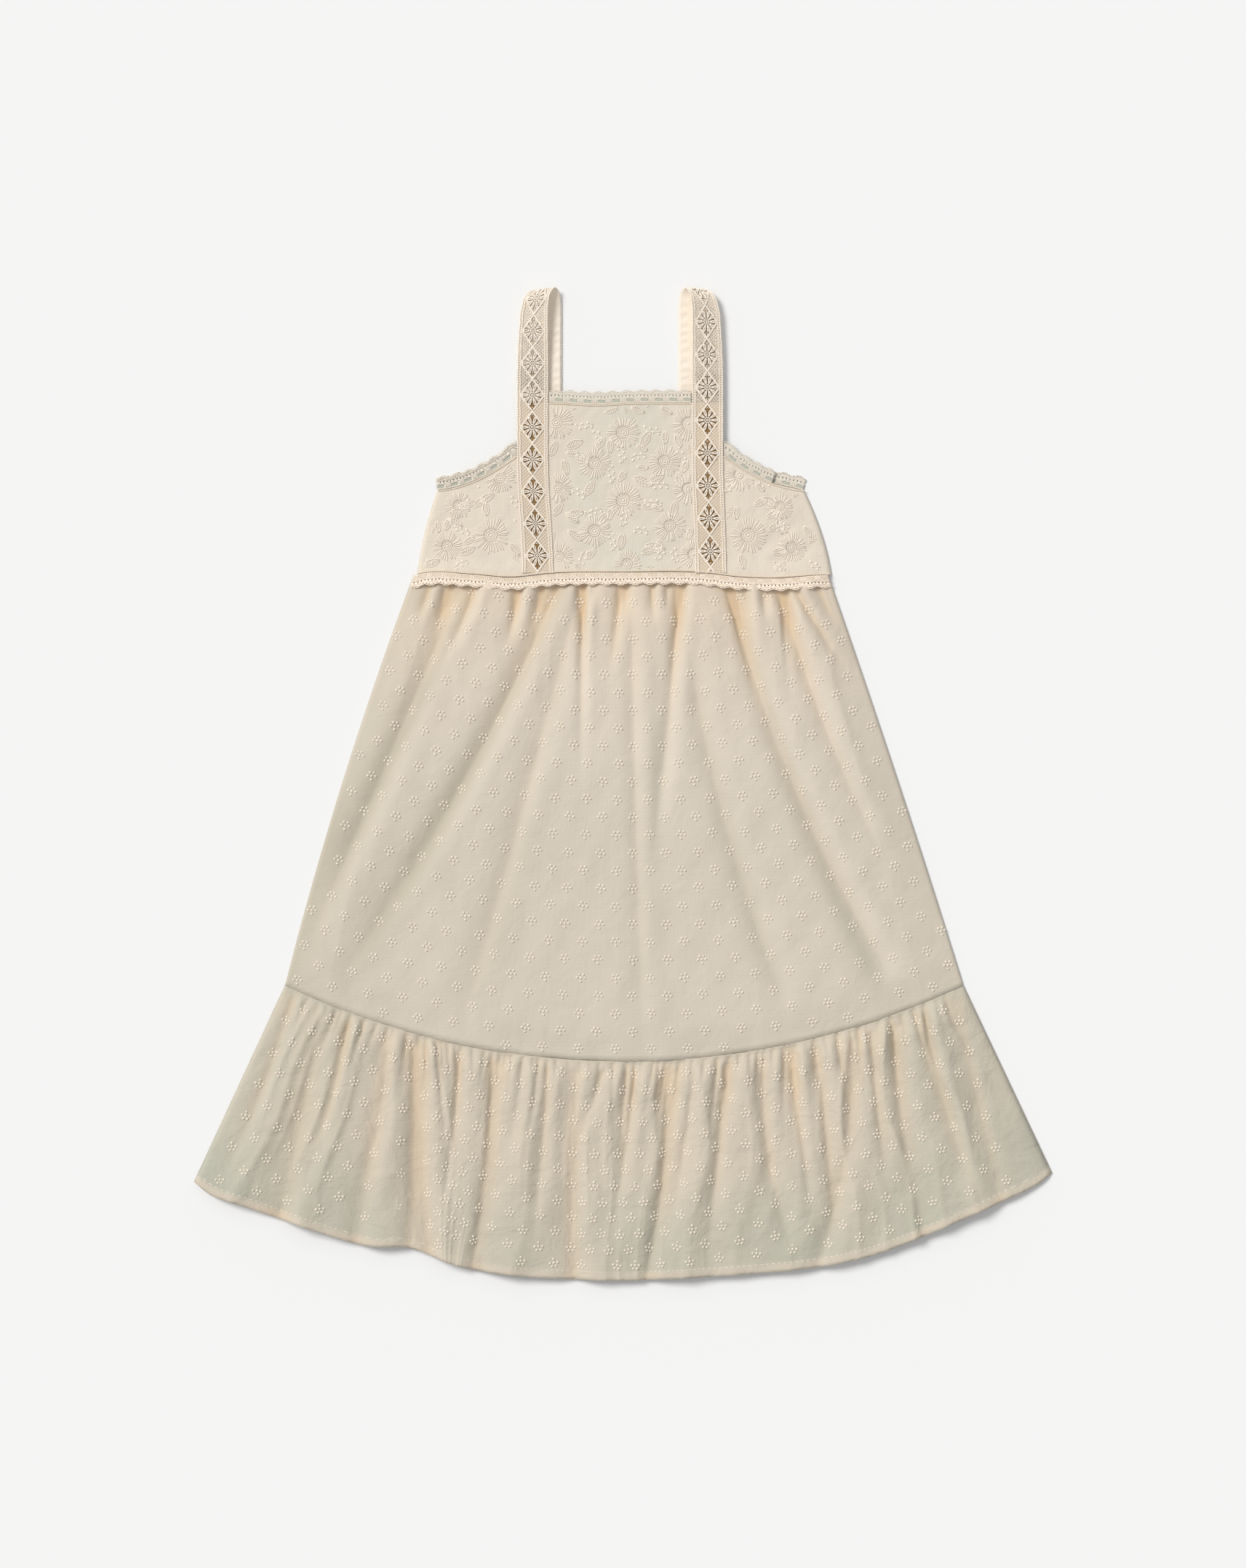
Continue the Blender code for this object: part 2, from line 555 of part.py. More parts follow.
def build_lace_band(side, sign, material):
    """The woven-look lace band: daisies in low relief over the bodice and strap, plain round and behind the loop."""
    along, place = strap_surface(sign)
    pitch = DAISY_PITCH[side]
    start = FIRST_DAISY[side] - pitch / 2
    last = start + DAISIES * pitch
    end = along[-2]
    half = BAND_WIDTH / 2
    across = np.linspace(-half, half, 6)
    under_lift = TRIM / 2 + SEAM_GAP
    points, faces = [], []

    def add(s, t, lift):
        middle, normal = place(s, t)
        points.extend((middle + normal * np.expand_dims(np.broadcast_to(lift, np.shape(t)), -1)).reshape(-1, 3))
        return list(range(len(points) - np.size(t), len(points)))

    def row(s):
        """The band's edge-to-edge row of points at s, over and under."""
        stations = np.full(6, s)
        return add(stations, across, under_lift + TRIM), add(stations, across, under_lift)

    def join(rows_a, rows_b):
        (top_a, low_a), (top_b, low_b) = rows_a, rows_b
        for j in range(5):
            faces.append((top_a[j], top_a[j + 1], top_b[j + 1], top_b[j]))
            faces.append((low_b[j], low_b[j + 1], low_a[j + 1], low_a[j]))
        faces.append((top_a[0], top_b[0], low_b[0], low_a[0]))
        faces.append((low_a[5], low_b[5], top_b[5], top_a[5]))

    def close(rows, first):
        top, low = rows
        for j in range(5):
            face = (top[j], low[j], low[j + 1], top[j + 1])
            faces.append(face if first else face[::-1])

    previous = row(0.0)
    close(previous, True)
    if start > 6.0:
        middle_row = row(start / 2)
        join(previous, middle_row)
        previous = middle_row
    first_row = row(start)
    join(previous, first_row)
    previous = first_row
    turn = 2 * math.pi * np.arange(2 * PETALS) / (2 * PETALS)
    for k in range(DAISIES):
        s0 = start + k * pitch
        mid = s0 + pitch / 2
        following = row(s0 + pitch)
        steps = s0 + pitch * np.arange(1, 5) / 5
        right_edge = (add(steps, np.full(4, half), under_lift + TRIM), add(steps, np.full(4, half), under_lift))
        left_edge = (add(steps, np.full(4, -half), under_lift + TRIM), add(steps, np.full(4, -half), under_lift))
        rim = []
        for layer in (0, 1):
            rim.append(
                previous[layer] + right_edge[layer] + following[layer][::-1] + left_edge[layer][::-1]
            )
        # The ring of petal tips and the hollows between them
        tip = np.where(np.arange(2 * PETALS) % 2 == 0, 9.6, 6.4)
        rise = np.where(np.arange(2 * PETALS) % 2 == 0, 0.6, -0.45) * DAISY_RISE
        ring = add(mid - tip * np.cos(turn), tip * np.sin(turn) - 0.0, under_lift + TRIM + rise)
        boss_turn = turn[1::2]
        boss = add(mid - 3.0 * np.cos(boss_turn), 3.0 * np.sin(boss_turn), under_lift + TRIM + DAISY_RISE)
        heart = add(np.array([mid]), np.array([0.0]), under_lift + TRIM + 0.4 * DAISY_RISE)[0]
        plain = add(np.array([mid]), np.array([0.0]), under_lift)[0]
        # The rim starts at the band's inner lower corner, and the ring at the petal that points to the waist
        for i in range(2 * PETALS):
            a, b = rim[0][i], rim[0][(i + 1) % 20]
            c, d = ring[(i - 2) % 20], ring[(i - 1) % 20]
            faces.append((a, b, c))
            faces.append((b, d, c))
            faces.append((rim[1][(i + 1) % 20], rim[1][i], plain))
        for i in range(PETALS):
            before, tip_point, after = ring[2 * i - 1], ring[2 * i], ring[2 * i + 1]
            p, q = boss[i - 1], boss[i]
            faces.extend([(before, tip_point, p), (tip_point, q, p), (tip_point, after, q), (p, q, heart)])
        for edge, far in ((right_edge, 5), (left_edge, 0)):
            top = [previous[0][far], *edge[0], following[0][far]]
            low = [previous[1][far], *edge[1], following[1][far]]
            for i in range(5):
                face = (top[i], low[i], low[i + 1], top[i + 1])
                faces.append(face[::-1] if far == 0 else face)
        previous = following
    for s in strap_rows(last, end, along)[1:]:
        following = row(s)
        join(previous, following)
        previous = following
    close(previous, False)
    add_object(f"lace_band_{side}", points, oriented(faces), material)


def oriented(faces):
    """Turns the polygons of one closed surface so that neighbours agree, walking from face to face."""
    beside = {}
    for index, face in enumerate(faces):
        for a, b in zip(face, face[1:] + face[:1]):
            beside.setdefault(frozenset((a, b)), []).append(index)
    faces = list(faces)
    seen = {0}
    waiting = [0]
    while waiting:
        index = waiting.pop()
        face = faces[index]
        for a, b in zip(face, face[1:] + face[:1]):
            for other in beside[frozenset((a, b))]:
                if other in seen:
                    continue
                turned = faces[other]
                if (a, b) in zip(turned, turned[1:] + turned[:1]):
                    faces[other] = turned[::-1]
                seen.add(other)
                waiting.append(other)
    return faces


# Edging lace: a strip of worked lumps with a gap between each two, and a scalloped outer edge

def edging(name, length, place, material, plain=lambda middle: False):
    """place(a, b) gives the strip's under side at a along its foot and b out from it. Whole repeats fill the length.

    plain(middle) is true for the repeats whose gaps stay filled, as they are hidden under the front.
    """
    repeats = max(1, round(length / EDGING_PITCH))
    pitch = length / repeats
    lump = EDGING_LUMP / EDGING_PITCH * pitch
    stations, crest, gaps = [], [], []
    for k in range(repeats):
        stations.append(k * pitch)
        crest.append(EDGING_CREST)
        if not plain((k + 0.5) * pitch):
            gaps += [(len(stations), 1), (len(stations) + 1, 1)]
            stations += [k * pitch + lump, k * pitch + (lump + pitch) / 2]
            crest += [EDGING_CREST, EDGING_NOTCH]
    stations.append(repeats * pitch)
    crest.append(EDGING_CREST)
    a = np.repeat(np.array(stations)[:, None], 4, axis=1)
    b = np.stack([np.full(len(stations), row) for row in EDGING_ROWS] + [np.array(crest)], axis=1)
    low = place(a, b)
    high = low + np.array([0, 0, TRIM])
    wall(name, high, low, material, gaps=gaps)


def along_curve(points):
    """A function from distance along a plan curve to (x, y) and the unit normal on its left."""
    points = np.asarray(points, float)
    run = np.concatenate([[0.0], np.cumsum(np.linalg.norm(np.diff(points, axis=0), axis=1))])

    def at(s):
        x, y = np.interp(s, run, points[:, 0]), np.interp(s, run, points[:, 1])
        dx = np.interp(s + 2, run, points[:, 0]) - np.interp(s - 2, run, points[:, 0])
        dy = np.interp(s + 2, run, points[:, 1]) - np.interp(s - 2, run, points[:, 1])
        size = np.hypot(dx, dy)
        return x, y, -dy / size, dx / size

    return run[-1], at


def build_edgings(material):
    middle = bodice_middle(NECK_Y)
    # Neckline, between the two straps' lace
    reach = band_outer_edge(NECK_Y) - BAND_WIDTH - 0.4
    x = np.linspace(middle - reach, middle + reach, 40)
    length, at = along_curve(np.stack([x, neck_y(x) + SEAM_GAP], axis=1))

    def on_neck(a, b):
        x, y, nx, ny = at(a)
        z = FRONT_REST + bodice_rise(x, neck_y(x)) + 0.1
        return np.stack([x + nx * b, y + ny * b, z + 0 * b], axis=2)

    edging("lace_neck", length, on_neck, material)

    # Armholes: from the strap to the side on the left, and to where it turns in behind on the right
    for side, sign, out in (("left", -1, ARM_CORNER_X), ("right", 1, 121.0)):
        away = np.linspace(band_outer_edge(262.0) + 0.3, out, 40)
        x = sign * away + bodice_middle(255.0)
        line = np.stack([x, armhole_y(away) + 0.4], axis=1)
        length, at = along_curve(line)

        def on_armhole(a, b, at=at, sign=sign):
            x, y, nx, ny = at(a)
            nx, ny = sign * nx, sign * ny
            # Beside the strap the strip fans out, so that it fills the corner
            turned = 1 - ease(a / 15.0)
            nx, ny = nx * (1 - turned), mix(ny, 1.32, turned)
            z = FRONT_REST + bodice_rise(x, armhole_y(np.abs(x - bodice_middle(255.0))))
            return np.stack([x + nx * b, y + ny * b, z + 0 * b], axis=2)

        edging(f"lace_armhole_{side}", length, on_armhole, material)

    # Round the back's upper edge, seen from the front at the right corner
    shift = bodice_middle(BACK_CORNER_Y)
    x = np.linspace(-ARM_CORNER_X + 0.5, ARM_CORNER_X - 0.5, 81)
    length, at = along_curve(np.stack([x + shift, back_top_y(np.abs(x)) + SEAM_GAP], axis=1))

    def on_back(a, b):
        x, y, nx, ny = at(a)
        return np.stack([x + nx * b, y + ny * b, 0 * a], axis=2)

    edging("lace_back", length, on_back, material, plain=lambda middle: abs(middle - length / 2) < 95.0)

    # The waist: it hangs from the bodice's lower edge over the skirt's gathers
    def on_waist(a, b):
        u = a / (WAIST_RIGHT - WAIST_LEFT)
        x = mix(WAIST_LEFT, WAIST_RIGHT, u) + (2 * u - 1) * 0.29 * b
        rise = (0.6 + 0.30 * b) + soft_floor(0) + (STEEPEST - 1) * CLOTH * np.clip(b / 3.2, 0, 1)
        z = FRONT_REST + side_fade(u, 15.0, 15.0) * rise + CLOTH + 0.45
        return np.stack([x, WAIST_Y - 0.1 - b, z], axis=2)

    edging("lace_waist", WAIST_RIGHT - WAIST_LEFT, on_waist, material)


def main():
    clear_scene()
    cloth = cotton("cotton_lawn", CREAM)
    lace = cotton("cotton_lace", LACE_CREAM)
    build_skirt(cloth)
    build_flounce(cloth)
    build_bodice(cloth)
    for side, sign in (("left", -1), ("right", 1)):
        build_strap(side, sign, cloth)
        build_lace_band(side, sign, lace)
    build_edgings(lace)


main()
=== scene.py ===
"""A child's maxi dress of cream cotton lawn, laid flat with its front up: its cloth, lace and thread.

Shapes are worked out in millimetres, with +X to the right as the dress lies, +Y from the hem to the
straps and +Z up from the table, and each mesh is put into metres as it is made.
"""

import bpy
import numpy as np
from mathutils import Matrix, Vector


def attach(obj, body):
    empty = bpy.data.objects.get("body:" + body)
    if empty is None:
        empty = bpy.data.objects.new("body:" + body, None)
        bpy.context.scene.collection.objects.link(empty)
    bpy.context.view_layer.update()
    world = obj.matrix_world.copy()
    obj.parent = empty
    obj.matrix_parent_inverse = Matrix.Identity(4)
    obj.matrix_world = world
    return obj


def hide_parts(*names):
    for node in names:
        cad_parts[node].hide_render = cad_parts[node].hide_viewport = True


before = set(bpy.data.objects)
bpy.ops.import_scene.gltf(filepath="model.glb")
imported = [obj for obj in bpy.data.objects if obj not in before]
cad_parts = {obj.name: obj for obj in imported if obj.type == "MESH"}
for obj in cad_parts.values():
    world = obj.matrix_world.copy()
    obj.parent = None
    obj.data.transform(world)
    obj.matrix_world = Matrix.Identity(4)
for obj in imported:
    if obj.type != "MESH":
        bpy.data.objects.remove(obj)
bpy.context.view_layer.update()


# The table, the camera straight above it, and the light.
# A matt white board fills the view. A broad lamp stands at the upper left, and white walls fill the shadows.

PHOTO_HIGH = 2156
MM_PER_PIXEL = 0.58
CAMERA_HEIGHT = 3.2
FILM_HEIGHT = 24.0
BOARD_WHITE = "#F6F6F6"
BOARD_HALF = 2.5
BOARD_Z = -0.0003
LAMP_TOWARDS = (0.80, -0.62, -1.05)
LAMP_STRENGTH = 2.2
LAMP_SPREAD = np.radians(24)
WALLS_STRENGTH = 0.50


def linear(colour):
    """An sRGB hex colour in linear light: each channel c becomes ((c + 0.055) / 1.055) to the power 2.4."""
    channels = np.array([int(colour[i : i + 2], 16) for i in (1, 3, 5)]) / 255
    light = np.where(channels <= 0.04045, channels / 12.92, ((channels + 0.055) / 1.055) ** 2.4)
    return (*(float(channel) for channel in light), 1.0)


def add_node(tree, kind, sockets, **settings):
    """A shader node. sockets maps each socket to its value, or to the output that feeds it."""
    made = tree.nodes.new("ShaderNode" + kind)
    for name, value in settings.items():
        setattr(made, name, value)
    for socket, value in sockets.items():
        if isinstance(value, bpy.types.NodeSocket):
            tree.links.new(value, made.inputs[socket])
        else:
            made.inputs[socket].default_value = value
    return made


def shaded(tree, colour, noise, levels):
    """A colour, made lighter and darker by a noise. levels holds the MapRange's own limits."""
    shade = add_node(tree, "MapRange", {"Value": noise, **levels}).outputs["Result"]
    sockets = {"Fac": 1.0, "Color1": colour, "Color2": shade}
    return add_node(tree, "MixRGB", sockets, blend_type="MULTIPLY").outputs[0]


def new_material(name):
    """A material, its node tree and its shader."""
    material = bpy.data.materials.new(name)
    material.use_nodes = True
    return material, material.node_tree, material.node_tree.nodes["Principled BSDF"]


def put_in_scene(name, data):
    """An object that holds the data, linked to the scene."""
    placed = bpy.data.objects.new(name, data)
    bpy.context.scene.collection.objects.link(placed)
    return placed


board_paint, tree, shader = new_material("matt_white_board")
grain = add_node(tree, "TexNoise", {"Scale": 900.0, "Detail": 2.0})
dents = add_node(tree, "Bump", {"Height": grain.outputs["Fac"], "Strength": 0.04, "Distance": 0.0002})
tree.links.new(dents.outputs["Normal"], shader.inputs["Normal"])
shader.inputs["Base Color"].default_value = linear(BOARD_WHITE)
shader.inputs["Roughness"].default_value = 0.9
shader.inputs["Specular IOR Level"].default_value = 0.2

board_mesh = bpy.data.meshes.new("board")
corners = [(x * BOARD_HALF, y * BOARD_HALF, BOARD_Z) for x, y in ((-1, -1), (1, -1), (1, 1), (-1, 1))]
board_mesh.from_pydata(corners, [], [(0, 1, 2, 3)])
board_mesh.materials.append(board_paint)
board = put_in_scene("board", board_mesh)

camera_data = bpy.data.cameras.new("camera")
camera_data.sensor_fit = "VERTICAL"
camera_data.sensor_height = FILM_HEIGHT
camera_data.lens = FILM_HEIGHT * CAMERA_HEIGHT / (PHOTO_HIGH * MM_PER_PIXEL / 1000)
camera_data.clip_end = 20
camera = put_in_scene("camera", camera_data)
camera.location = (0, 0, CAMERA_HEIGHT)
bpy.context.scene.camera = camera

lamp_data = bpy.data.lights.new("lamp", "SUN")
lamp_data.energy = LAMP_STRENGTH
lamp_data.angle = LAMP_SPREAD
lamp_data.color = (1.0, 0.985, 0.96)
lamp = put_in_scene("lamp", lamp_data)
lamp.rotation_euler = Vector(LAMP_TOWARDS).to_track_quat("-Z", "Y").to_euler()
walls = bpy.data.worlds.new("white_walls")
walls.use_nodes = True
walls.node_tree.nodes["Background"].inputs["Color"].default_value = (0.97, 0.985, 1.0, 1.0)
walls.node_tree.nodes["Background"].inputs["Strength"].default_value = WALLS_STRENGTH
bpy.context.scene.world = walls
bpy.context.scene.view_settings.view_transform = "Standard"


# The front skirt, a flared panel gathered into the waist, its lower edge cut as an arc.
# It is cream cotton lawn, plain woven of fine combed yarn and left unpressed: matt and a little see-through.
# Warm shade is painted into its colour down in the folds, and cooler shade at its sides, low down and along
# the long folds.

CLOTH_THICK = 0.5
FRONT_REST = 1.5  # underside of the front's solid where it lies on the back
WALL = 1.2  # the solid's wall, on whose upper face the cloth's face lies
BACK_FACE = 1.0  # upper face of the back's cloth
WAIST_Y = 166.5
WAIST_LEFT, WAIST_RIGHT = -167.0, 163.5
SEAM_ARC_X, SEAM_ARC_Y, SEAM_ARC_RADIUS = 1.2, 414.4, 635.7
SKIRT_LOW_LEFT, SKIRT_LOW_RIGHT = -269.4, 271.4
GUIDE_HALF = 0.45  # the share of the way down of the guides' middle places
# Lines that the main folds follow: x at the waist, at GUIDE_HALF and at the flounce.
SKIRT_GUIDES = np.array([
    (WAIST_LEFT, -218.0, SKIRT_LOW_LEFT),
    (-126.0, -192.0, -257.0),
    (-47.0, -128.0, -238.0),
    (-32.0, -77.0, -131.0),
    (6.0, 9.5, 16.0),
    (46.0, 76.0, 134.0),
    (83.0, 136.0, 214.0),
    (122.0, 174.0, 246.0),
    (WAIST_RIGHT, 213.6, SKIRT_LOW_RIGHT),
])
SKIRT_COLUMNS = (32, 56, 32, 42, 44, 44, 42, 38)  # from one line to the next
UPPER_SHARE = 0.25  # of the way down a panel, where its rows lie closer
SKIRT_UPPER_ROWS, SKIRT_LOWER_ROWS = 52, 54
FOLD_COLUMNS = ("top_x", "half_x", "end_x", "reach", "top_depth", "half_depth", "end_depth", "left", "right")
# Trough lines of the gathers and folds, their reach and depths, and the width of both slopes.
SKIRT_FOLDS = (
    (-152, -157, -163, 36, 2.5, 2.0, 0.5, 5, 4),
    (-136, -142, -149, 46, 2.5, 2.5, 1.0, 6, 4),
    (-126, -184, -246, 280, 2.5, 5.0, 3.0, 17, 9),
    (-115, -126, -143, 68, 3.5, 3.0, 1.0, 6, 5),
    (-82, -86, -93, 58, 4.0, 3.0, 1.0, 5, 5),
    (-62, -68, -76, 50, 3.0, 2.0, 0.5, 5, 4),
    (-47, -123, -219, 315, 3.5, 5.0, 3.0, 14, 8),
    (-33, -33, -34, 155, 6.5, 2.2, 0.8, 5, 4),
    (-32, -77, -126, 352, 0.5, 3.2, 2.4, 13, 8),
    (-24, -25, -27, 30, 2.5, 1.5, 0.3, 4, 4),
    (0, -5, -11, 80, 4.5, 3.0, 1.0, 6, 5),
    (6, 10, 16, 372, 1.5, 2.4, 1.4, 8, 6),
    (22, 23, 25, 38, 3.0, 2.0, 0.5, 5, 4),
    (35, 35, 34, 32, 2.5, 1.5, 0.5, 4, 4),
    (45, 36, 23, 232, 5.0, 2.6, 1.0, 6, 6),
    (46, 74, 127, 336, 0.5, 2.8, 2.0, 10, 8),
    (83, 130, 205, 306, 5.0, 4.6, 3.0, 10, 8),
    (97, 100, 104, 52, 3.0, 2.0, 0.5, 5, 4),
    (112, 112, 113, 38, 3.0, 2.0, 0.5, 4, 4),
    (122, 158, 208, 226, 5.0, 3.6, 1.5, 9, 7),
    (131, 154, 181, 80, 3.0, 3.0, 1.2, 6, 5),
    (153, 163, 175, 52, 2.5, 2.5, 0.8, 6, 4),
)
# Broad shade painted into the cloth's colour on the far banks of the long folds, in the same columns, with
# its strengths as depths.
SKIRT_SHADES = (
    (-111, -169, -226, 230, 0.00, 0.62, 0.55, 13, 11),
    (-40, -125, -221, 330, 0.20, 0.62, 0.42, 13, 11),
    (-45, -64, -113, 330, 0.15, 0.18, 0.42, 12, 9),
    (26, 25, 22, 330, 0.05, 0.25, 0.18, 10, 8),
    (45, 76, 120, 330, 0.10, 0.20, 0.32, 10, 9),
    (95, 134, 205, 330, 0.10, 0.26, 0.55, 11, 9),
)
LAP_COLUMNS = ("top_x", "end_x", "reach", "step", "spread")
# Edges where a gather laps over the next: a step down to the right, or up if it is negative.
SKIRT_LAPS = (
    (-150, -161, 42, -1.7, 5),
    (-116, -120, 34, -1.9, 5),
    (-80, -85, 48, -2.1, 6),
    (-47, -80, 74, -2.0, 7),
    (-31, -36, 92, 2.7, 6),
    (1, 0, 62, 2.1, 5),
    (22, 23, 36, 1.9, 4),
    (47, 35, 92, 2.4, 5),
    (79, 112, 128, 2.3, 6),
    (94, 96, 34, 1.4, 3),
    (113, 114, 40, 1.9, 4),
    (124, 131, 118, 2.4, 6),
    (157, 184, 76, 1.9, 5),
)
THREAD_SPACING = 0.00045  # metres between the yarns, drawn a little coarser than lawn's own
CLOUD_SIZE = 0.030
CRUMPLES_A_METRE = 42.0
LAWN_LIT = "#DED3C3"
LAWN_FOLD_SHADE = "#DBC1A1"
LAWN_PAINTED_SHADE = "#B9B29F"


def lawn(name, lit=LAWN_LIT, fold=LAWN_FOLD_SHADE, painted_shade=LAWN_PAINTED_SHADE, crumple=0.0015):
    """Matt cotton under a clouded weave. Its fold attribute paints warm shade into its colour, and its
    painted_shade attribute a cooler shade.
    """
    material, tree, shader = new_material(name)
    cloth_map = add_node(tree, "UVMap", {}, uv_map="cloth").outputs["UV"]
    depth = add_node(tree, "Attribute", {}, attribute_name="fold").outputs["Fac"]
    painted_shade_share = add_node(tree, "Attribute", {}, attribute_name="painted_shade").outputs["Fac"]
    # Shade painted into the colour: warmer down in the folds, then cooler where painted_shade says.
    painted_fold_shade = add_node(tree, "MixRGB", {"Fac": depth, "Color1": linear(lit), "Color2": linear(fold)})
    with_painted_shade = add_node(tree, "MixRGB", {"Fac": painted_shade_share, "Color1": painted_fold_shade.outputs[0], "Color2": linear(painted_shade)})
    place = add_node(tree, "TexCoord", {}).outputs["Object"]
    clouds = add_node(tree, "TexNoise", {"Vector": place, "Scale": 1 / CLOUD_SIZE, "Detail": 3.0})
    tinted = shaded(tree, with_painted_shade.outputs[0], clouds.outputs["Fac"], {"To Min": 0.955, "To Max": 1.045})
    tree.links.new(tinted, shader.inputs["Base Color"])
    per_thread = 1 / (20 * THREAD_SPACING)
    warp = add_node(tree, "TexWave", {"Vector": cloth_map, "Scale": per_thread}, bands_direction="X")
    weft = add_node(tree, "TexWave", {"Vector": cloth_map, "Scale": per_thread}, bands_direction="Y")
    weave = add_node(tree, "Math", {0: warp.outputs["Fac"], 1: weft.outputs["Fac"]}, operation="MULTIPLY")
    slubs = add_node(tree, "TexNoise", {"Vector": place, "Scale": 260.0, "Detail": 4.0, "Roughness": 0.7})
    surface = add_node(tree, "Math", {0: weave.outputs[0], 1: slubs.outputs["Fac"]}, operation="ADD")
    wrinkles = add_node(
        tree, "TexNoise", {"Vector": place, "Scale": CRUMPLES_A_METRE, "Detail": 4.0, "Distortion": 0.4}
    )
    worn = add_node(tree, "Bump", {"Height": wrinkles.outputs["Fac"], "Strength": 1.0, "Distance": crumple})
    fine = {"Height": surface.outputs[0], "Strength": 0.35, "Distance": 0.00012}
    relief = add_node(tree, "Bump", {**fine, "Normal": worn.outputs["Normal"]})
    tree.links.new(relief.outputs["Normal"], shader.inputs["Normal"])
    shader.inputs["Roughness"].default_value = 0.88
    shader.inputs["Specular IOR Level"].default_value = 0.25
    shader.inputs["Sheen Weight"].default_value = 0.12
    shader.inputs["Sheen Roughness"].default_value = 0.5
    return material


def ease(t):
    """0 below 0, 1 above 1, and 3t^2 - 2t^3 between."""
    t = np.clip(t, 0.0, 1.0)
    return t * t * (3.0 - 2.0 * t)


def mix(a, b, t):
    """a at t = 0, b at t = 1, and straight between them."""
    return a + (b - a) * t


def new_piece(name, parts, material, nodes=()):
    """One mesh from parts, each (points in mm, [arrays of faces]), riding on the dress, for nodes."""
    points, faces, start = [], [], 0
    for part_points, part_faces in parts:
        part_points = np.asarray(part_points, float).reshape(-1, 3)
        points.append(part_points)
        faces += [np.asarray(block) + start for block in part_faces]
        start += len(part_points)
    corner = np.concatenate([block.ravel() for block in faces])
    sizes = np.concatenate([np.full(len(block), block.shape[1]) for block in faces])
    kept, corner = np.unique(corner, return_inverse=True)
    points = np.concatenate(points)[kept]
    mesh = bpy.data.meshes.new(name)
    mesh.vertices.add(len(points))
    mesh.vertices.foreach_set("co", (points / 1000).ravel())
    mesh.loops.add(len(corner))
    mesh.loops.foreach_set("vertex_index", corner.ravel().astype(np.int32))
    mesh.polygons.add(len(sizes))
    mesh.polygons.foreach_set("loop_start", (np.cumsum(sizes) - sizes).astype(np.int32))
    mesh.update(calc_edges=True)
    mesh.shade_smooth()
    mesh.materials.append(material)
    piece = put_in_scene(name, mesh)
    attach(piece, "root")
    if nodes:
        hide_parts(*nodes)
    return piece, kept


def thicken(piece, title, thickness):
    """A real wall under the piece's face, its thickness in mm."""
    wall = piece.modifiers.new(title, "SOLIDIFY")
    wall.thickness = thickness / 1000
    wall.offset = -1


def grid_faces(rows, columns, keep=None, up=True):
    """Quads between neighbours of a grid whose rows run to the right and whose columns run down."""
    index = np.arange(rows * columns).reshape(rows, columns)
    around = (index[:-1, :-1], index[:-1, 1:], index[1:, 1:], index[1:, :-1])
    quads = np.stack(around if up else around[::-1], axis=-1)
    return quads[keep] if keep is not None else quads.reshape(-1, 4)


def cloth_piece(name, points, cloth_xy, fold, painted_shade, material, nodes, keep=None, up=True):
    """A sheet on a grid of points, with its flat coordinates, fold and painted_shade values that paint shade
    into its colour, and thickness.
    """
    rows, columns = points.shape[:2]
    faces = grid_faces(rows, columns, keep, up)
    piece, kept = new_piece(name, [(points, [faces])], material, nodes)
    mesh = piece.data
    for title, values in (("fold", fold), ("painted_shade", painted_shade)):
        column = np.broadcast_to(values, (rows, columns)).reshape(-1)[kept].astype(np.float32)
        mesh.attributes.new(title, "FLOAT", "POINT").data.foreach_set("value", column)
    corner = np.empty(len(mesh.loops), np.int32)
    mesh.loops.foreach_get("vertex_index", corner)
    flat = cloth_xy.reshape(-1, 2)[kept][corner] / 1000
    mesh.uv_layers.new(name="cloth").data.foreach_set("uv", flat.astype(np.float32).ravel())
    thicken(piece, "cloth_thickness", CLOTH_THICK)
    return piece


def between(u, stops, values):
    """The value at u, straight from stop to stop. The last axis of values holds the stops' own."""
    k = np.clip(np.searchsorted(stops, u, side="right") - 1, 0, len(stops) - 2)
    low = np.take_along_axis(values, k[..., None], -1)[..., 0]
    high = np.take_along_axis(values, k[..., None] + 1, -1)[..., 0]
    return mix(low, high, (u - stops[k]) / (stops[k + 1] - stops[k]))


def shares(widths):
    """Places along a line, as shares of its length."""
    return (widths - widths[0]) / (widths[-1] - widths[0])


def skirt_seam_y(x):
    """The flounce's seam, an arc of a circle."""
    return SEAM_ARC_Y - np.sqrt(SEAM_ARC_RADIUS**2 - (x - SEAM_ARC_X) ** 2)


def skirt_guides_at(v):
    """Where the guides lie at the share v of the way down: a parabola through each one's three places."""
    top, half, low = SKIRT_GUIDES.T
    v = np.asarray(v, float)[..., None]
    rest = 1 - GUIDE_HALF
    upper = top * (1 - v) * (1 - v / GUIDE_HALF)
    return upper + half * v * (1 - v) / (GUIDE_HALF * rest) + low * v * (v - GUIDE_HALF) / rest


def skirt_plan(u, v):
    """u runs to the right along the waist, and v along the main folds from the waist to the flounce."""
    u, v = np.broadcast_arrays(np.asarray(u, float), np.asarray(v, float))
    stops = shares(SKIRT_GUIDES[:, 0])
    low_x = between(u, stops, np.broadcast_to(SKIRT_GUIDES[:, 2], (*u.shape, len(stops))))
    return between(u, stops, skirt_guides_at(v)), mix(WAIST_Y, skirt_seam_y(low_x), v)


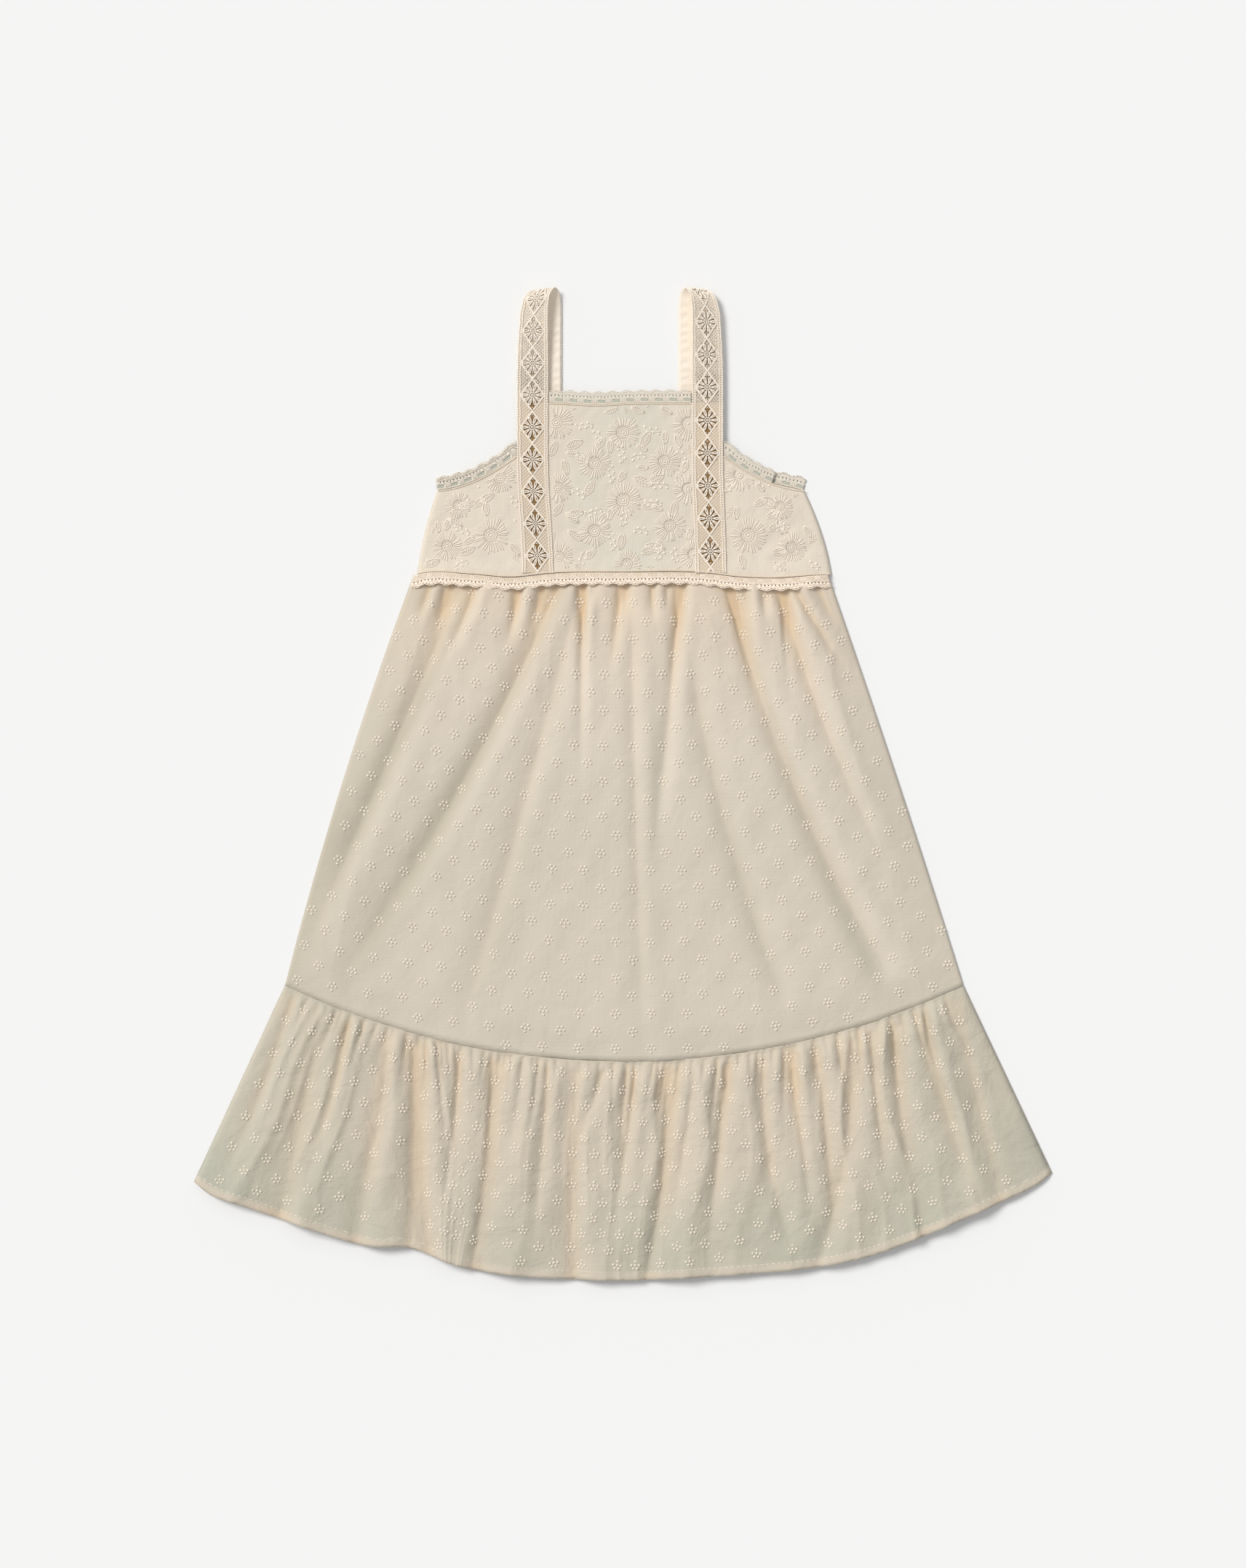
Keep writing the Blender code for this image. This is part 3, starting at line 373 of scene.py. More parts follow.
def fold_depth(x, drop, folds):
    """How far the folds lower the cloth: exp(-|d/w|^1.5) across each trough, a low ridge on its right."""
    lowered = np.zeros(np.shape(x))
    for row in folds:
        fold = dict(zip(FOLD_COLUMNS, row))
        t = np.clip(drop / fold["reach"], 0.0, 1.3)
        upper = fold["top_x"] * (1 - t) * (1 - 2 * t) + fold["half_x"] * 4 * t * (1 - t)
        centre = upper + fold["end_x"] * t * (2 * t - 1)
        centre = np.where(t > 1, fold["end_x"], centre)
        depth = np.where(
            t < 0.5,
            mix(fold["top_depth"], fold["half_depth"], ease(2 * t)),
            mix(fold["half_depth"], fold["end_depth"], ease(2 * t - 1)),
        )
        depth = depth * (1 - ease((drop / fold["reach"] - 0.82) / 0.36))
        away = x - centre
        width = np.where(away < 0, fold["left"], fold["right"]) * mix(0.8, 1.15, t / 1.3)
        trough = np.exp(-np.abs(away / width) ** 1.5)
        ridge = np.exp(-(((away - 2.1 * width) / (1.3 * width)) ** 2)) * (away > 0)
        lowered += depth * (trough - 0.28 * ridge)
    return lowered


def lap_depth(x, drop, laps):
    """The steps at lapped edges: tanh(d/w) exp(-|d|/spread) across each line, lower towards its end."""
    lowered = np.zeros(np.shape(x))
    for row in laps:
        lap = dict(zip(LAP_COLUMNS, row))
        t = drop / lap["reach"]
        away = x - mix(lap["top_x"], lap["end_x"], t)
        step = lap["step"] * (1 - ease((t - 0.15) / 0.75))
        soft = mix(0.5, 3.0, ease(t / 0.8))
        lowered += step * np.tanh(away / soft) * np.exp(-np.abs(away) / lap["spread"])
    return lowered


def soft_floor(height):
    """The height kept above zero with a rounded corner, as cloth that comes to lie on the layer below."""
    return 0.5 * (height + np.sqrt(height**2 + 0.5))


def rolled(height, from_side):
    """The face's height, brought round a quarter circle to the back's at the side folds."""
    roll = np.sqrt(1 - (1 - np.clip(from_side / 3.0, 0, 1)) ** 2)
    return mix(BACK_FACE, height, roll)


def creases(x, y, size):
    """A faint unevenness of unpressed cloth: sines of mixed direction and length, size mm high in all."""
    return size * (
        0.34 * np.sin(x / 21.0 + 0.8 * np.sin(y / 37.0))
        + 0.30 * np.sin(y / 26.0 + 0.9 * np.sin(x / 31.0) + 1.3)
        + 0.22 * np.sin((x + 1.7 * y) / 19.0 + 2.1)
        + 0.14 * np.sin((1.9 * x - y) / 11.0 + 0.4)
    )


def crinkles(along, drop, size):
    """Sharp-edged small folds that run down the cloth: ridges 1 - |sin| of wandering lines, size mm high."""
    wander = 0.45 * np.sin(drop / 47.0 + along / 31.0)
    wander = wander + 0.3 * np.sin(drop / 21.0 + 1.7 * np.sin(along / 37.0))
    wide = 1 - np.abs(np.sin(along / 11.0 + wander))
    narrow = 1 - np.abs(np.sin(along / 5.6 + 1.6 * wander + 0.9))
    where = 0.5 + 0.5 * np.sin(drop / 31.0 + 2.2 * np.sin(along / 27.0) + 0.6)
    return size * (0.65 * wide**2 + 0.45 * narrow**2 * where)


def skirt_sides(y):
    """The side folds' x at the height y."""
    v = np.clip((WAIST_Y - y) / (WAIST_Y - skirt_seam_y(SKIRT_LOW_LEFT)), 0, 1)
    lines = skirt_guides_at(v)
    return lines[..., 0], lines[..., -1]


def skirt_form(x, y):
    """Height of the skirt's face, its painted warm shade in the folds, and its painted cooler shade."""
    drop = WAIST_Y - y
    room = y - skirt_seam_y(x)
    free = 3.9 + 2.9 * ease((drop - 11) / 30) - 2.6 * ease((drop - 70) / 260)
    loft = np.where(drop > 11, free, 0.6 + 0.30 * drop)
    loft = mix(1.4, loft, ease(room / 30))
    held = ease(drop / 9.0) * ease(room / 26 + 0.12)
    held = held * (1 + 0.45 * np.exp(-(((drop - 20) / 17) ** 2)))
    lowered = 1.15 * fold_depth(x, drop, SKIRT_FOLDS) * held
    lowered += lap_depth(x, drop, SKIRT_LAPS) * ease((drop - 3) / 10)
    left, right = skirt_sides(y)
    from_side = np.minimum(x - left, right - x)
    fade = np.clip(from_side / mix(22.0, 36.0, np.clip(drop / 340, 0, 1)), 0, 1)
    shaped = loft - lowered + creases(x, y, 1.1) * ease(drop / 40)
    shaped += crinkles(x, drop, 0.9) * ease((drop - 5) / 12) * (1 - 0.8 * ease((drop - 40) / 90))
    groove = 0.25 * np.exp(-((room / 1.8) ** 2))
    height = FRONT_REST + WALL + fade * soft_floor(shaped) - groove
    # Painted warm shade: down in the deeper folds, more near the waist, and a little over the whole gathered
    # top.
    fold = 0.8 * np.clip((lowered - 0.5) / 6.5, 0, 1) * mix(1.1, 0.4, ease(drop / 110))
    fold += 0.24 * (1 - ease(drop / 150))
    # Painted cooler shade: at the side folds, more on the left, growing down the skirt, and along the far
    # banks of the long folds.
    painted_shade = 0.42 * np.exp(-(x - left) / 24.0) + 0.12 * np.exp(-(right - x) / 20.0)
    painted_shade += 0.24 * ease((drop - 50) / 190) + fold_depth(x, drop, SKIRT_SHADES) * ease(room / 40)
    return rolled(height, from_side), np.clip(fold, 0, 1), np.clip(painted_shade, 0, 1)


def panel_rows(upper_rows, lower_rows):
    """Shares of the way down a panel, closer together above UPPER_SHARE."""
    upper = np.linspace(0, UPPER_SHARE, upper_rows, endpoint=False)
    return np.concatenate([upper, np.linspace(UPPER_SHARE, 1, lower_rows + 1)])


skirt_lawn = lawn("cotton_lawn_skirt")
stops = shares(SKIRT_GUIDES[:, 0])
u = [np.linspace(stops[k], stops[k + 1], n, endpoint=False) for k, n in enumerate(SKIRT_COLUMNS)]
v = panel_rows(SKIRT_UPPER_ROWS, SKIRT_LOWER_ROWS)
u, v = np.meshgrid(np.append(np.concatenate(u), 1.0), v, indexing="ij")
x, y = skirt_plan(u, v)
height, fold, painted_shade = skirt_form(x, y)
skirt_front = cloth_piece(
    "skirt_front_cloth",
    np.stack([x, y, height], axis=-1),
    np.stack([mix(-300, 300, u), y], axis=-1),
    fold,
    painted_shade,
    skirt_lawn,
    ["skirt_front"],
)


# The skirt's thread dots, a flower of padded knots each.
# They are woven into the lawn with a softer, thicker cotton yarn, in offset rows along the panel's flare.

DOT_YARN = "#EFE4D4"
KNOT_PLACES = np.array([
    (0.0, 0.0), (-1.55, 2.75), (1.55, 2.75), (-3.05, 0.1), (3.05, 0.1), (0.0, -2.9),
])
KNOT_RADIUS, KNOT_RISE = 1.12, 0.80
FAN_X, FAN_Y = 7.8, 1147.0  # where the columns of dots would meet
FAN_PITCH = np.radians(1.22)
FAN_ROW = 14.2
FAN_NEAREST, FAN_FURTHEST = 975.0, 1372.0


def thread(name, colour, gloss=0.2):
    """Soft mercerised cotton yarn: a pale tone, darker between the strands, with a fine twist."""
    material, tree, shader = new_material(name)
    place = add_node(tree, "TexCoord", {}).outputs["Object"]
    strands = add_node(tree, "TexNoise", {"Vector": place, "Scale": 1400.0, "Detail": 2.0})
    clouds = add_node(tree, "TexNoise", {"Vector": place, "Scale": 45.0, "Detail": 2.0})
    both = add_node(tree, "Math", {0: strands.outputs["Fac"], 1: clouds.outputs["Fac"]}, operation="ADD")
    levels = {"From Max": 2.0, "To Min": 0.90, "To Max": 1.08}
    tree.links.new(shaded(tree, linear(colour), both.outputs[0], levels), shader.inputs["Base Color"])
    relief = add_node(tree, "Bump", {"Height": strands.outputs["Fac"], "Strength": 0.4, "Distance": 0.0001})
    tree.links.new(relief.outputs["Normal"], shader.inputs["Normal"])
    shader.inputs["Roughness"].default_value = 0.75
    shader.inputs["Specular IOR Level"].default_value = gloss
    shader.inputs["Sheen Weight"].default_value = 0.1
    return material


def knots(centres, across, outward, radius, rise, sides):
    """Domes on a surface: a foot ring just under it, a shoulder ring at 0.8 of the radius, and a crown."""
    inward = np.cross(outward, across)
    turn = 2 * np.pi * np.arange(sides) / sides
    radius, rise = np.broadcast_to(radius, len(centres)), np.broadcast_to(rise, len(centres))
    rings = []
    for reach, level in ((1.0, -0.35), (0.8, 0.62)):
        circle = across[:, None] * np.cos(turn)[:, None] + inward[:, None] * np.sin(turn)[:, None]
        ring = centres[:, None] + circle * (radius * reach)[:, None, None]
        rings.append(ring + outward[:, None] * (rise * level)[:, None, None])
    ends = [centres + outward * (rise * level)[:, None] for level in (-0.35, 1.0)]
    points = np.concatenate([*rings, ends[0][:, None], ends[1][:, None]], axis=1)
    start = np.arange(len(centres))[:, None] * points.shape[1]
    k = np.arange(sides)
    after = (k + 1) % sides
    quads = np.stack([start + k, start + after, start + sides + after, start + sides + k], axis=-1)
    under = np.stack([start + 2 * sides + 0 * k, start + after, start + k], axis=-1)
    crown = np.stack([start + 2 * sides + 1 + 0 * k, start + sides + k, start + sides + after], axis=-1)
    return points, [quads.reshape(-1, 4), under.reshape(-1, 3), crown.reshape(-1, 3)]


def surface_at(height, x, y, gap=0.3):
    """The point on a height field at (x, y), its unit direction to the right, and its outward normal."""
    z = height(x, y)
    slope_x = (height(x + gap, y) - height(x - gap, y)) / (2 * gap)
    slope_y = (height(x, y + gap) - height(x, y - gap)) / (2 * gap)
    outward = np.stack([-slope_x, -slope_y, np.ones_like(z)], axis=-1)
    outward /= np.linalg.norm(outward, axis=-1, keepdims=True)
    across = np.stack([np.ones_like(z), 0 * z, slope_x], axis=-1)
    across /= np.linalg.norm(across, axis=-1, keepdims=True)
    return np.stack([x, y, z], axis=-1), across, outward


def knot_flowers(name, x, y, turn, height, material, up=1.0, rise=KNOT_RISE, sides=6):
    """Flowers of knots about (x, y), each turned by an angle, their knots set along the cloth's slope."""
    _, across, outward = surface_at(height, x, y, 1.2)
    cos, sin = np.cos(turn)[:, None], np.sin(turn)[:, None]
    right = KNOT_PLACES[:, 0] * cos - KNOT_PLACES[:, 1] * sin
    ahead = KNOT_PLACES[:, 0] * sin + KNOT_PLACES[:, 1] * cos
    down_slope = np.cross(outward, across)
    knot_x = (x[:, None] + right * across[:, :1] + ahead * down_slope[:, :1]).ravel()
    knot_y = (y[:, None] + right * across[:, 1:2] + ahead * down_slope[:, 1:2]).ravel()
    centres, across, outward = surface_at(height, knot_x, knot_y)
    chance = np.random.RandomState(len(x))
    radius = KNOT_RADIUS * chance.uniform(0.85, 1.12, len(centres))
    parts = [knots(centres, across, outward * up, radius, rise, sides)]
    return new_piece(name, parts, material)[0]


def skirt_dot_places(chance):
    """Places on arcs about the fan's centre, every second row offset by half a column, a little uneven."""
    row = np.arange(int((FAN_FURTHEST - FAN_NEAREST) / FAN_ROW) + 1)
    column = np.arange(-24, 25)
    row, column = (grid.ravel() for grid in np.meshgrid(row, column))
    angle = (column + 0.5 * (row % 2)) * FAN_PITCH
    radius = FAN_NEAREST + row * FAN_ROW
    x = FAN_X + radius * np.sin(angle) + chance.uniform(-0.7, 0.7, len(row))
    y = FAN_Y - radius * np.cos(angle) + chance.uniform(-0.5, 0.5, len(row))
    left, right = skirt_sides(y)
    inside = (x > left + 4) & (x < right - 4) & (y < WAIST_Y - 15) & (y > skirt_seam_y(x) + 5)
    return x[inside], y[inside], angle[inside] + chance.uniform(-0.15, 0.15, inside.sum())


dot_yarn = thread("soft_cotton_dot_yarn", DOT_YARN)
x, y, turn = skirt_dot_places(np.random.RandomState(3))
skirt_dots = knot_flowers("skirt_front_dots", x, y, turn, lambda x, y: skirt_form(x, y)[0], dot_yarn)


# The front flounce, a strip gathered onto the skirt's lower edge and hemmed with a narrow turned band.
# It is the same lawn. The gathers start as small pleats at the seam and run out into a few broad waves.

HEM_HALF_WIDTH = 342.0
HEM_BAND, HEM_BAND_RISE = 8.0, 0.35
FLOUNCE_GUIDES = np.array([  # lines that the main folds follow: x at the seam and at the hem
    (SKIRT_LOW_LEFT, -HEM_HALF_WIDTH),
    (-240.0, -298.0),
    (-186.0, -230.0),
    (-158.0, -150.0),
    (-104.0, -128.0),
    (-38.0, -40.0),
    (35.0, 11.0),
    (83.0, 64.0),
    (153.0, 168.0),
    (216.0, 243.0),
    (262.0, 310.0),
    (SKIRT_LOW_RIGHT, HEM_HALF_WIDTH),
])
HEM_X = (
    -342, -332, -305, -253, -201, -166, -152, -130, -97, -44, 8, 60, 112, 164, 199, 234, 269, 304, 333, 342,
)
HEM_Y = (
    -317, -325, -335, -353, -368, -370, -376, -384, -390, -394, -395, -392.5, -389, -383, -375, -362, -347,
    -331.5, -317, -310,
)
FLOUNCE_FOLDS = (
    (-240, -262, -291, 262, 2.0, 3.5, 4.5, 20, 8),
    (-186, -202, -225, 236, 3.0, 3.0, 3.2, 10, 8),
    (-169, -166, -178, 214, 4.0, 3.0, 1.5, 6, 6),
    (-158, -158, -148, 222, 3.0, 4.0, 4.4, 11, 6),
    (-104, -110, -125, 208, 5.0, 4.5, 3.5, 5, 13),
    (-79, -84, -92, 80, 3.0, 2.0, 0.5, 5, 5),
    (-38, -40, -39, 196, 3.0, 3.8, 4.2, 11, 8),
    (-13, -24, -36, 66, 3.5, 2.5, 0.5, 5, 5),
    (35, 31, 12, 198, 5.0, 4.3, 3.6, 6, 12),
    (83, 75, 66, 170, 4.0, 3.0, 1.0, 5, 8),
    (112, 116, 137, 168, 3.0, 3.0, 2.0, 7, 7),
    (153, 162, 167, 150, 4.0, 3.0, 1.5, 7, 6),
    (180, 177, 147, 202, 2.5, 3.0, 2.5, 9, 8),
    (216, 223, 241, 190, 3.0, 3.2, 2.8, 6, 9),
    (262, 285, 308, 196, 3.0, 3.0, 2.6, 9, 6),
    (-262, -285, -318, 150, 2.5, 3.2, 1.5, 7, 4),
    (-217, -234, -262, 168, 3.5, 3.4, 1.5, 8, 4),
    (-132, -134, -143, 126, 3.0, 2.6, 1.0, 4, 6),
    (-60, -63, -70, 132, 3.5, 2.8, 1.0, 6, 4),
    (10, 4, -6, 118, 3.5, 2.4, 0.8, 5, 4),
    (58, 50, 40, 124, 3.0, 2.6, 1.0, 5, 7),
    (133, 141, 150, 138, 3.5, 3.0, 1.0, 7, 4),
    (197, 202, 209, 122, 3.8, 3.2, 1.2, 4, 7),
    (239, 257, 283, 172, 3.6, 3.4, 1.8, 8, 4),
)
FLOUNCE_LAPS = (
    (-159, -149, 225, 0.8, 6),
    (-105, -126, 205, -0.9, 6),
    (-38, -39, 200, 0.5, 6),
    (35, 12, 200, -0.8, 6),
)
PLEAT_WIDTHS = (3.8, 11.0)
PLEAT_DEPTHS = (1.0, 4.6)
PLEAT_REACHES = (12.0, 110.0)
FLOUNCE_COLUMNS, FLOUNCE_UPPER_ROWS, FLOUNCE_LOWER_ROWS = 390, 36, 52
FLOUNCE_WIDE, FLOUNCE_LONG = 600.0, 205.0  # nominal, for distances from its sides and from its hem
SEAM_DOT_ROW, DOT_COLUMNS = 12.7, 27
STITCH_PITCH = 4.0


def smooth_through(x, xs, ys):
    """A cubic through the points (xs, ys), each stretch with end slopes from its neighbours' chord."""
    xs, ys = np.asarray(xs, float), np.asarray(ys, float)
    slope = np.gradient(ys, xs)
    k = np.clip(np.searchsorted(xs, x, side="right") - 1, 0, len(xs) - 2)
    width = xs[k + 1] - xs[k]
    t = np.clip((x - xs[k]) / width, 0.0, 1.0)
    return (
        ys[k] * (1 + 2 * t) * (1 - t) ** 2
        + slope[k] * width * t * (1 - t) ** 2
        + ys[k + 1] * t * t * (3 - 2 * t)
        + slope[k + 1] * width * t * t * (t - 1)
    )


def flounce_plan(u, v):
    """u runs to the right along the seam, and v along the main folds from the seam to the hem."""
    u, v = np.broadcast_arrays(np.asarray(u, float), np.asarray(v, float))
    stops = shares(FLOUNCE_GUIDES[:, 0])
    top_x = mix(SKIRT_LOW_LEFT, SKIRT_LOW_RIGHT, u)
    hem_x = between(u, stops, np.broadcast_to(FLOUNCE_GUIDES[:, 1], (*u.shape, len(stops))))
    return mix(top_x, hem_x, v), mix(skirt_seam_y(top_x) + 0.4, smooth_through(hem_x, HEM_X, HEM_Y), v)


def find_uv(plan, x, y):
    """A panel's own coordinates of the places (x, y), by Newton's steps on plan(u, v)."""
    u, v, small = np.full(x.shape, 0.5), np.full(x.shape, 0.5), 1e-4
    for _ in range(14):
        here_x, here_y = plan(u, v)
        right_x, right_y = plan(u + small, v)
        down_x, down_y = plan(u, v + small)
        a, b, c, d = right_x - here_x, down_x - here_x, right_y - here_y, down_y - here_y
        miss_x, miss_y = (x - here_x) * small, (y - here_y) * small
        size = a * d - b * c
        u = np.clip(u + (d * miss_x - b * miss_y) / size, 0, 1 - small)
        v = np.clip(v + (a * miss_y - c * miss_x) / size, 0, 1 - small)
    return u, v


def pleat_rows(chance):
    """Small pleats along the seam: place in mm from its left end, depth, reach and lean of each."""
    places, x = [], 3.0
    while x < SKIRT_LOW_RIGHT - SKIRT_LOW_LEFT - 4:
        places.append(x)
        x += chance.uniform(*PLEAT_WIDTHS)
    count = len(places)
    strength = chance.uniform(0, 1, count) ** 1.3
    return np.stack([
        places,
        mix(*PLEAT_DEPTHS, strength),
        mix(*PLEAT_REACHES, strength * chance.uniform(0.5, 1, count)),
        chance.uniform(-0.09, 0.09, count),
    ], axis=1)


FLOUNCE_PLEATS = pleat_rows(np.random.RandomState(11))


def pleat_depth(along, drop):
    """How far the small pleats lower the cloth: exp(-|d/w|^1.3), wider if deep, fading with the drop."""
    lowered = np.zeros(np.shape(along))
    for place, depth, reach, lean in FLOUNCE_PLEATS:
        away = along - place - lean * drop
        width = 0.8 + 0.28 * depth + 0.05 * drop
        lowered += depth * np.exp(-np.abs(away / width) ** 1.3) * (1 - ease(drop / reach))
    return lowered


def flounce_form(u, v, x, y):
    """Height of the flounce's face, its painted warm shade in folds and pleats, and its painted grey shade.
    """
    seam_x = mix(SKIRT_LOW_LEFT, SKIRT_LOW_RIGHT, u)
    drop = skirt_seam_y(np.clip(x, SKIRT_LOW_LEFT, SKIRT_LOW_RIGHT)) - y
    from_seam = np.hypot(x - seam_x, y - skirt_seam_y(seam_x))
    loft = mix(1.6, 5.6, ease(from_seam / 20.0))
    loft = loft + 1.6 * ease(from_seam / 7.0) * (1 - ease((from_seam - 10) / 30))
    folds = 1.3 * fold_depth(x, drop, FLOUNCE_FOLDS) * ease(drop / 12.0)
    laps = lap_depth(x, drop, FLOUNCE_LAPS) * ease(drop / 16.0)
    pleats = pleat_depth(seam_x - SKIRT_LOW_LEFT, from_seam) * ease(from_seam / 2.5)
    from_side = u * (1 - u) * FLOUNCE_WIDE
    fade = np.clip(from_side / 26.0, 0, 1)
    at_sides = ease((np.abs(2 * u - 1) - 0.5) / 0.3)
    worn = ease(from_seam / 12.0) * (1 - 0.45 * ease((from_seam - 60) / 90) + 0.7 * at_sides)
    shaped = loft - folds - laps - pleats + creases(x, y, 1.6) * ease(drop / 60)
    shaped += crinkles(seam_x, from_seam, 2.6) * worn
    from_hem = (1 - v) * FLOUNCE_LONG
    band = HEM_BAND_RISE * ease((HEM_BAND - from_hem) / 0.8)
    band = band - 0.3 * np.exp(-(((from_hem - HEM_BAND) / 0.9) ** 2))
    groove = 0.35 * np.exp(-((from_seam / 1.4) ** 2))
    height = FRONT_REST + WALL + fade * soft_floor(shaped) + band - groove
    # Painted warm shade in the folds, laps and pleats, and a little at the sides.
    fold = np.clip((folds + laps - 1.5) / 11.0 + pleats / 9.0 + 0.12 * at_sides, 0, 1)
    # Painted grey shade, seen through the thin cloth in patches towards the hem, and at the sides; none on
    # the hem band.
    patches = 0.5 + 0.5 * np.sin(x / 47.0 + 1.9) * np.sin(x / 29.0 + y / 60.0)
    painted_shade = ease((v - 0.45) / 0.45) * (0.1 + 0.7 * patches) + 0.32 * ease((np.abs(2 * u - 1) - 0.6) / 0.3)
    painted_shade = np.clip(painted_shade, 0, 0.9) * (1 - ease((HEM_BAND - from_hem) / 0.8))
    return rolled(height, from_side), fold, painted_shade


# The same lawn as the skirt's, painted darker all over as shade, with its own grey for the painted shade.
flounce_lawn_shaded = lawn("cotton_lawn_flounce_painted_shade", lit="#CFC4B2", painted_shade="#B9B8A8", crumple=0.0032)
v = panel_rows(FLOUNCE_UPPER_ROWS, FLOUNCE_LOWER_ROWS)
u, v = np.meshgrid(np.linspace(0, 1, FLOUNCE_COLUMNS + 1), v, indexing="ij")
x, y = flounce_plan(u, v)
height, fold, painted_shade = flounce_form(u, v, x, y)
flounce_front = cloth_piece(
    "flounce_front_cloth",
    np.stack([x, y, height], axis=-1),
    np.stack([mix(-500, 500, u), y], axis=-1),
    fold,
    painted_shade,
    flounce_lawn_shaded,
    ["flounce_front"],
)


def strands(paths, radius, outward=(0.0, 0.0, 1.0), sides=5, flat=1.0, looped=False):
    """Tubes along paths, one row of points each, flattened towards the surface. looped joins their ends."""
    paths = np.asarray(paths, float)
    outward = np.broadcast_to(outward, paths.shape)
    ahead = np.roll(paths, -1, 1) - np.roll(paths, 1, 1) if looped else np.gradient(paths, axis=1)
    across = np.cross(ahead, outward)
    lift = np.cross(across, ahead)
    across /= np.linalg.norm(across, axis=-1, keepdims=True)
    lift /= np.linalg.norm(lift, axis=-1, keepdims=True)
    turn = 2 * np.pi * np.arange(sides) / sides
    circle = across[:, :, None] * np.cos(turn)[:, None] + lift[:, :, None] * (flat * np.sin(turn))[:, None]
    rings = paths[:, :, None] + circle * np.broadcast_to(radius, paths.shape[:2])[..., None, None]
    index = np.arange(rings.size // 3).reshape(rings.shape[:3])
    around = np.concatenate([index, index[:, :1]], axis=1) if looped else index
    beside = np.roll(around, -1, axis=2)
    quads = np.stack([around[:, :-1], around[:, 1:], beside[:, 1:], beside[:, :-1]], axis=-1)
    faces = [quads.reshape(-1, 4)]
    return rings, faces if looped else [*faces, index[:, 0], index[:, -1, ::-1]]


def hem_stitches():
    """Lockstitches along the hem band's upper edge, drawn a little longer than real ones."""
    u = np.arange(0.006, 0.994, STITCH_PITCH / (2 * HEM_HALF_WIDTH))[:, None]
    u = u + np.linspace(0, 0.55 * STITCH_PITCH / (2 * HEM_HALF_WIDTH), 4)
    x, top = flounce_plan(u, 0 * u)
    length = top - flounce_plan(u, 0 * u + 1)[1]
    v = 1 - (HEM_BAND - 1.3) / length
    x, y = flounce_plan(u, v)
    height = flounce_form(u, v, x, y)[0]
    return strands(np.stack([x, y, height + 0.05], axis=-1), 0.32)


def flounce_dot_places(chance):
    """Rows parallel to the seam, every second one offset by half a column. Columns run down the cloth."""
    row = np.arange(17)
    column = np.arange(DOT_COLUMNS + 1)
    row, column = (grid.ravel() for grid in np.meshgrid(row, column))
    u = (column + 0.5 * (row % 2)) / DOT_COLUMNS + chance.uniform(-0.0012, 0.0012, len(row))
    x, top = flounce_plan(u, 0 * u)
    length = top - flounce_plan(u, 0 * u + 1)[1]
    v = (10.0 + row * SEAM_DOT_ROW + chance.uniform(-0.6, 0.6, len(row))) / length
    inside = (u > 0.012) & (u < 0.988) & (v < 1 - 12.0 / length)
    x, y = flounce_plan(u[inside], v[inside])
    return x, y, np.pi + chance.uniform(-0.25, 0.25, inside.sum())


def flounce_height(x, y):
    """Height of the flounce's face at a place on the table."""
    u, v = find_uv(flounce_plan, x, y)
    return flounce_form(u, v, x, y)[0]


x, y, turn = flounce_dot_places(np.random.RandomState(5))
flounce_dots = knot_flowers("flounce_front_dots", x, y, turn, flounce_height, dot_yarn)
hem_thread, _ = new_piece("flounce_hem_stitches", [hem_stitches()], dot_yarn)


# The back of the skirt and of the flounce, lying flat on the table with their right side down.
# They are the same lawn with the same dots, which show on the underside alone.

UNDER_FACE = 0.45
BACK_KNOT_RISE = 0.35


def under_form(x, y):
    """The back lies on the table, but for a faint unevenness."""
    return UNDER_FACE + creases(x, y, 0.06)


def back_cloth(name, plan, columns, rows, flat_width, material, nodes):
    """A back panel on the front's plan, its right side down."""
    u, v = np.meshgrid(np.linspace(0, 1, columns + 1), np.linspace(0, 1, rows + 1), indexing="ij")
    x, y = plan(u, v)
    flat = np.stack([mix(-flat_width / 2, flat_width / 2, u), y], axis=-1)
    points = np.stack([x, y, under_form(x, y)], axis=-1)
    return cloth_piece(name, points, flat, 0.0, 0.0, material, nodes, up=False)


skirt_back = back_cloth("skirt_back_cloth", skirt_plan, 64, 40, 600, skirt_lawn, ["skirt_back"])
flounce_back = back_cloth("flounce_back_cloth", flounce_plan, 84, 20, 740, flounce_lawn_shaded, ["flounce_back"])
flat_knots = {"up": -1.0, "rise": BACK_KNOT_RISE, "sides": 4}
x, y, turn = skirt_dot_places(np.random.RandomState(7))
skirt_back_dots = knot_flowers("skirt_back_dots", x, y, turn, under_form, dot_yarn, **flat_knots)
x, y, turn = flounce_dot_places(np.random.RandomState(9))
flounce_back_dots = knot_flowers("flounce_back_dots", x, y, turn, under_form, dot_yarn, **flat_knots)


# The bodice, two lawn panels sewn together at the sides.
# Its cloth is finer and thinner than the skirt's. A twisted cord is sewn along neck, armholes and waist.

NECK_Y, BODICE_LOW_Y = 303.6, 166.8
ARM_CORNER_X, ARM_CORNER_Y, ARM_RISE, ARM_POWER = 146.0, 234.2, 27.8, 1.75
ARM_TOP_Y = ARM_CORNER_Y + ARM_RISE
ARM_MIDDLE_Y = 255.0  # where the middle line is taken for both armholes' lace
SIDE_LOW_X, SIDE_BULGE = 165.2, 2.5
BODICE_LOFT, WAIST_LOFT = 1.3, 2.3
BACK_CORNER_Y, BACK_RISE = 233.7, 14.0
BAND_WIDTH = 24.6
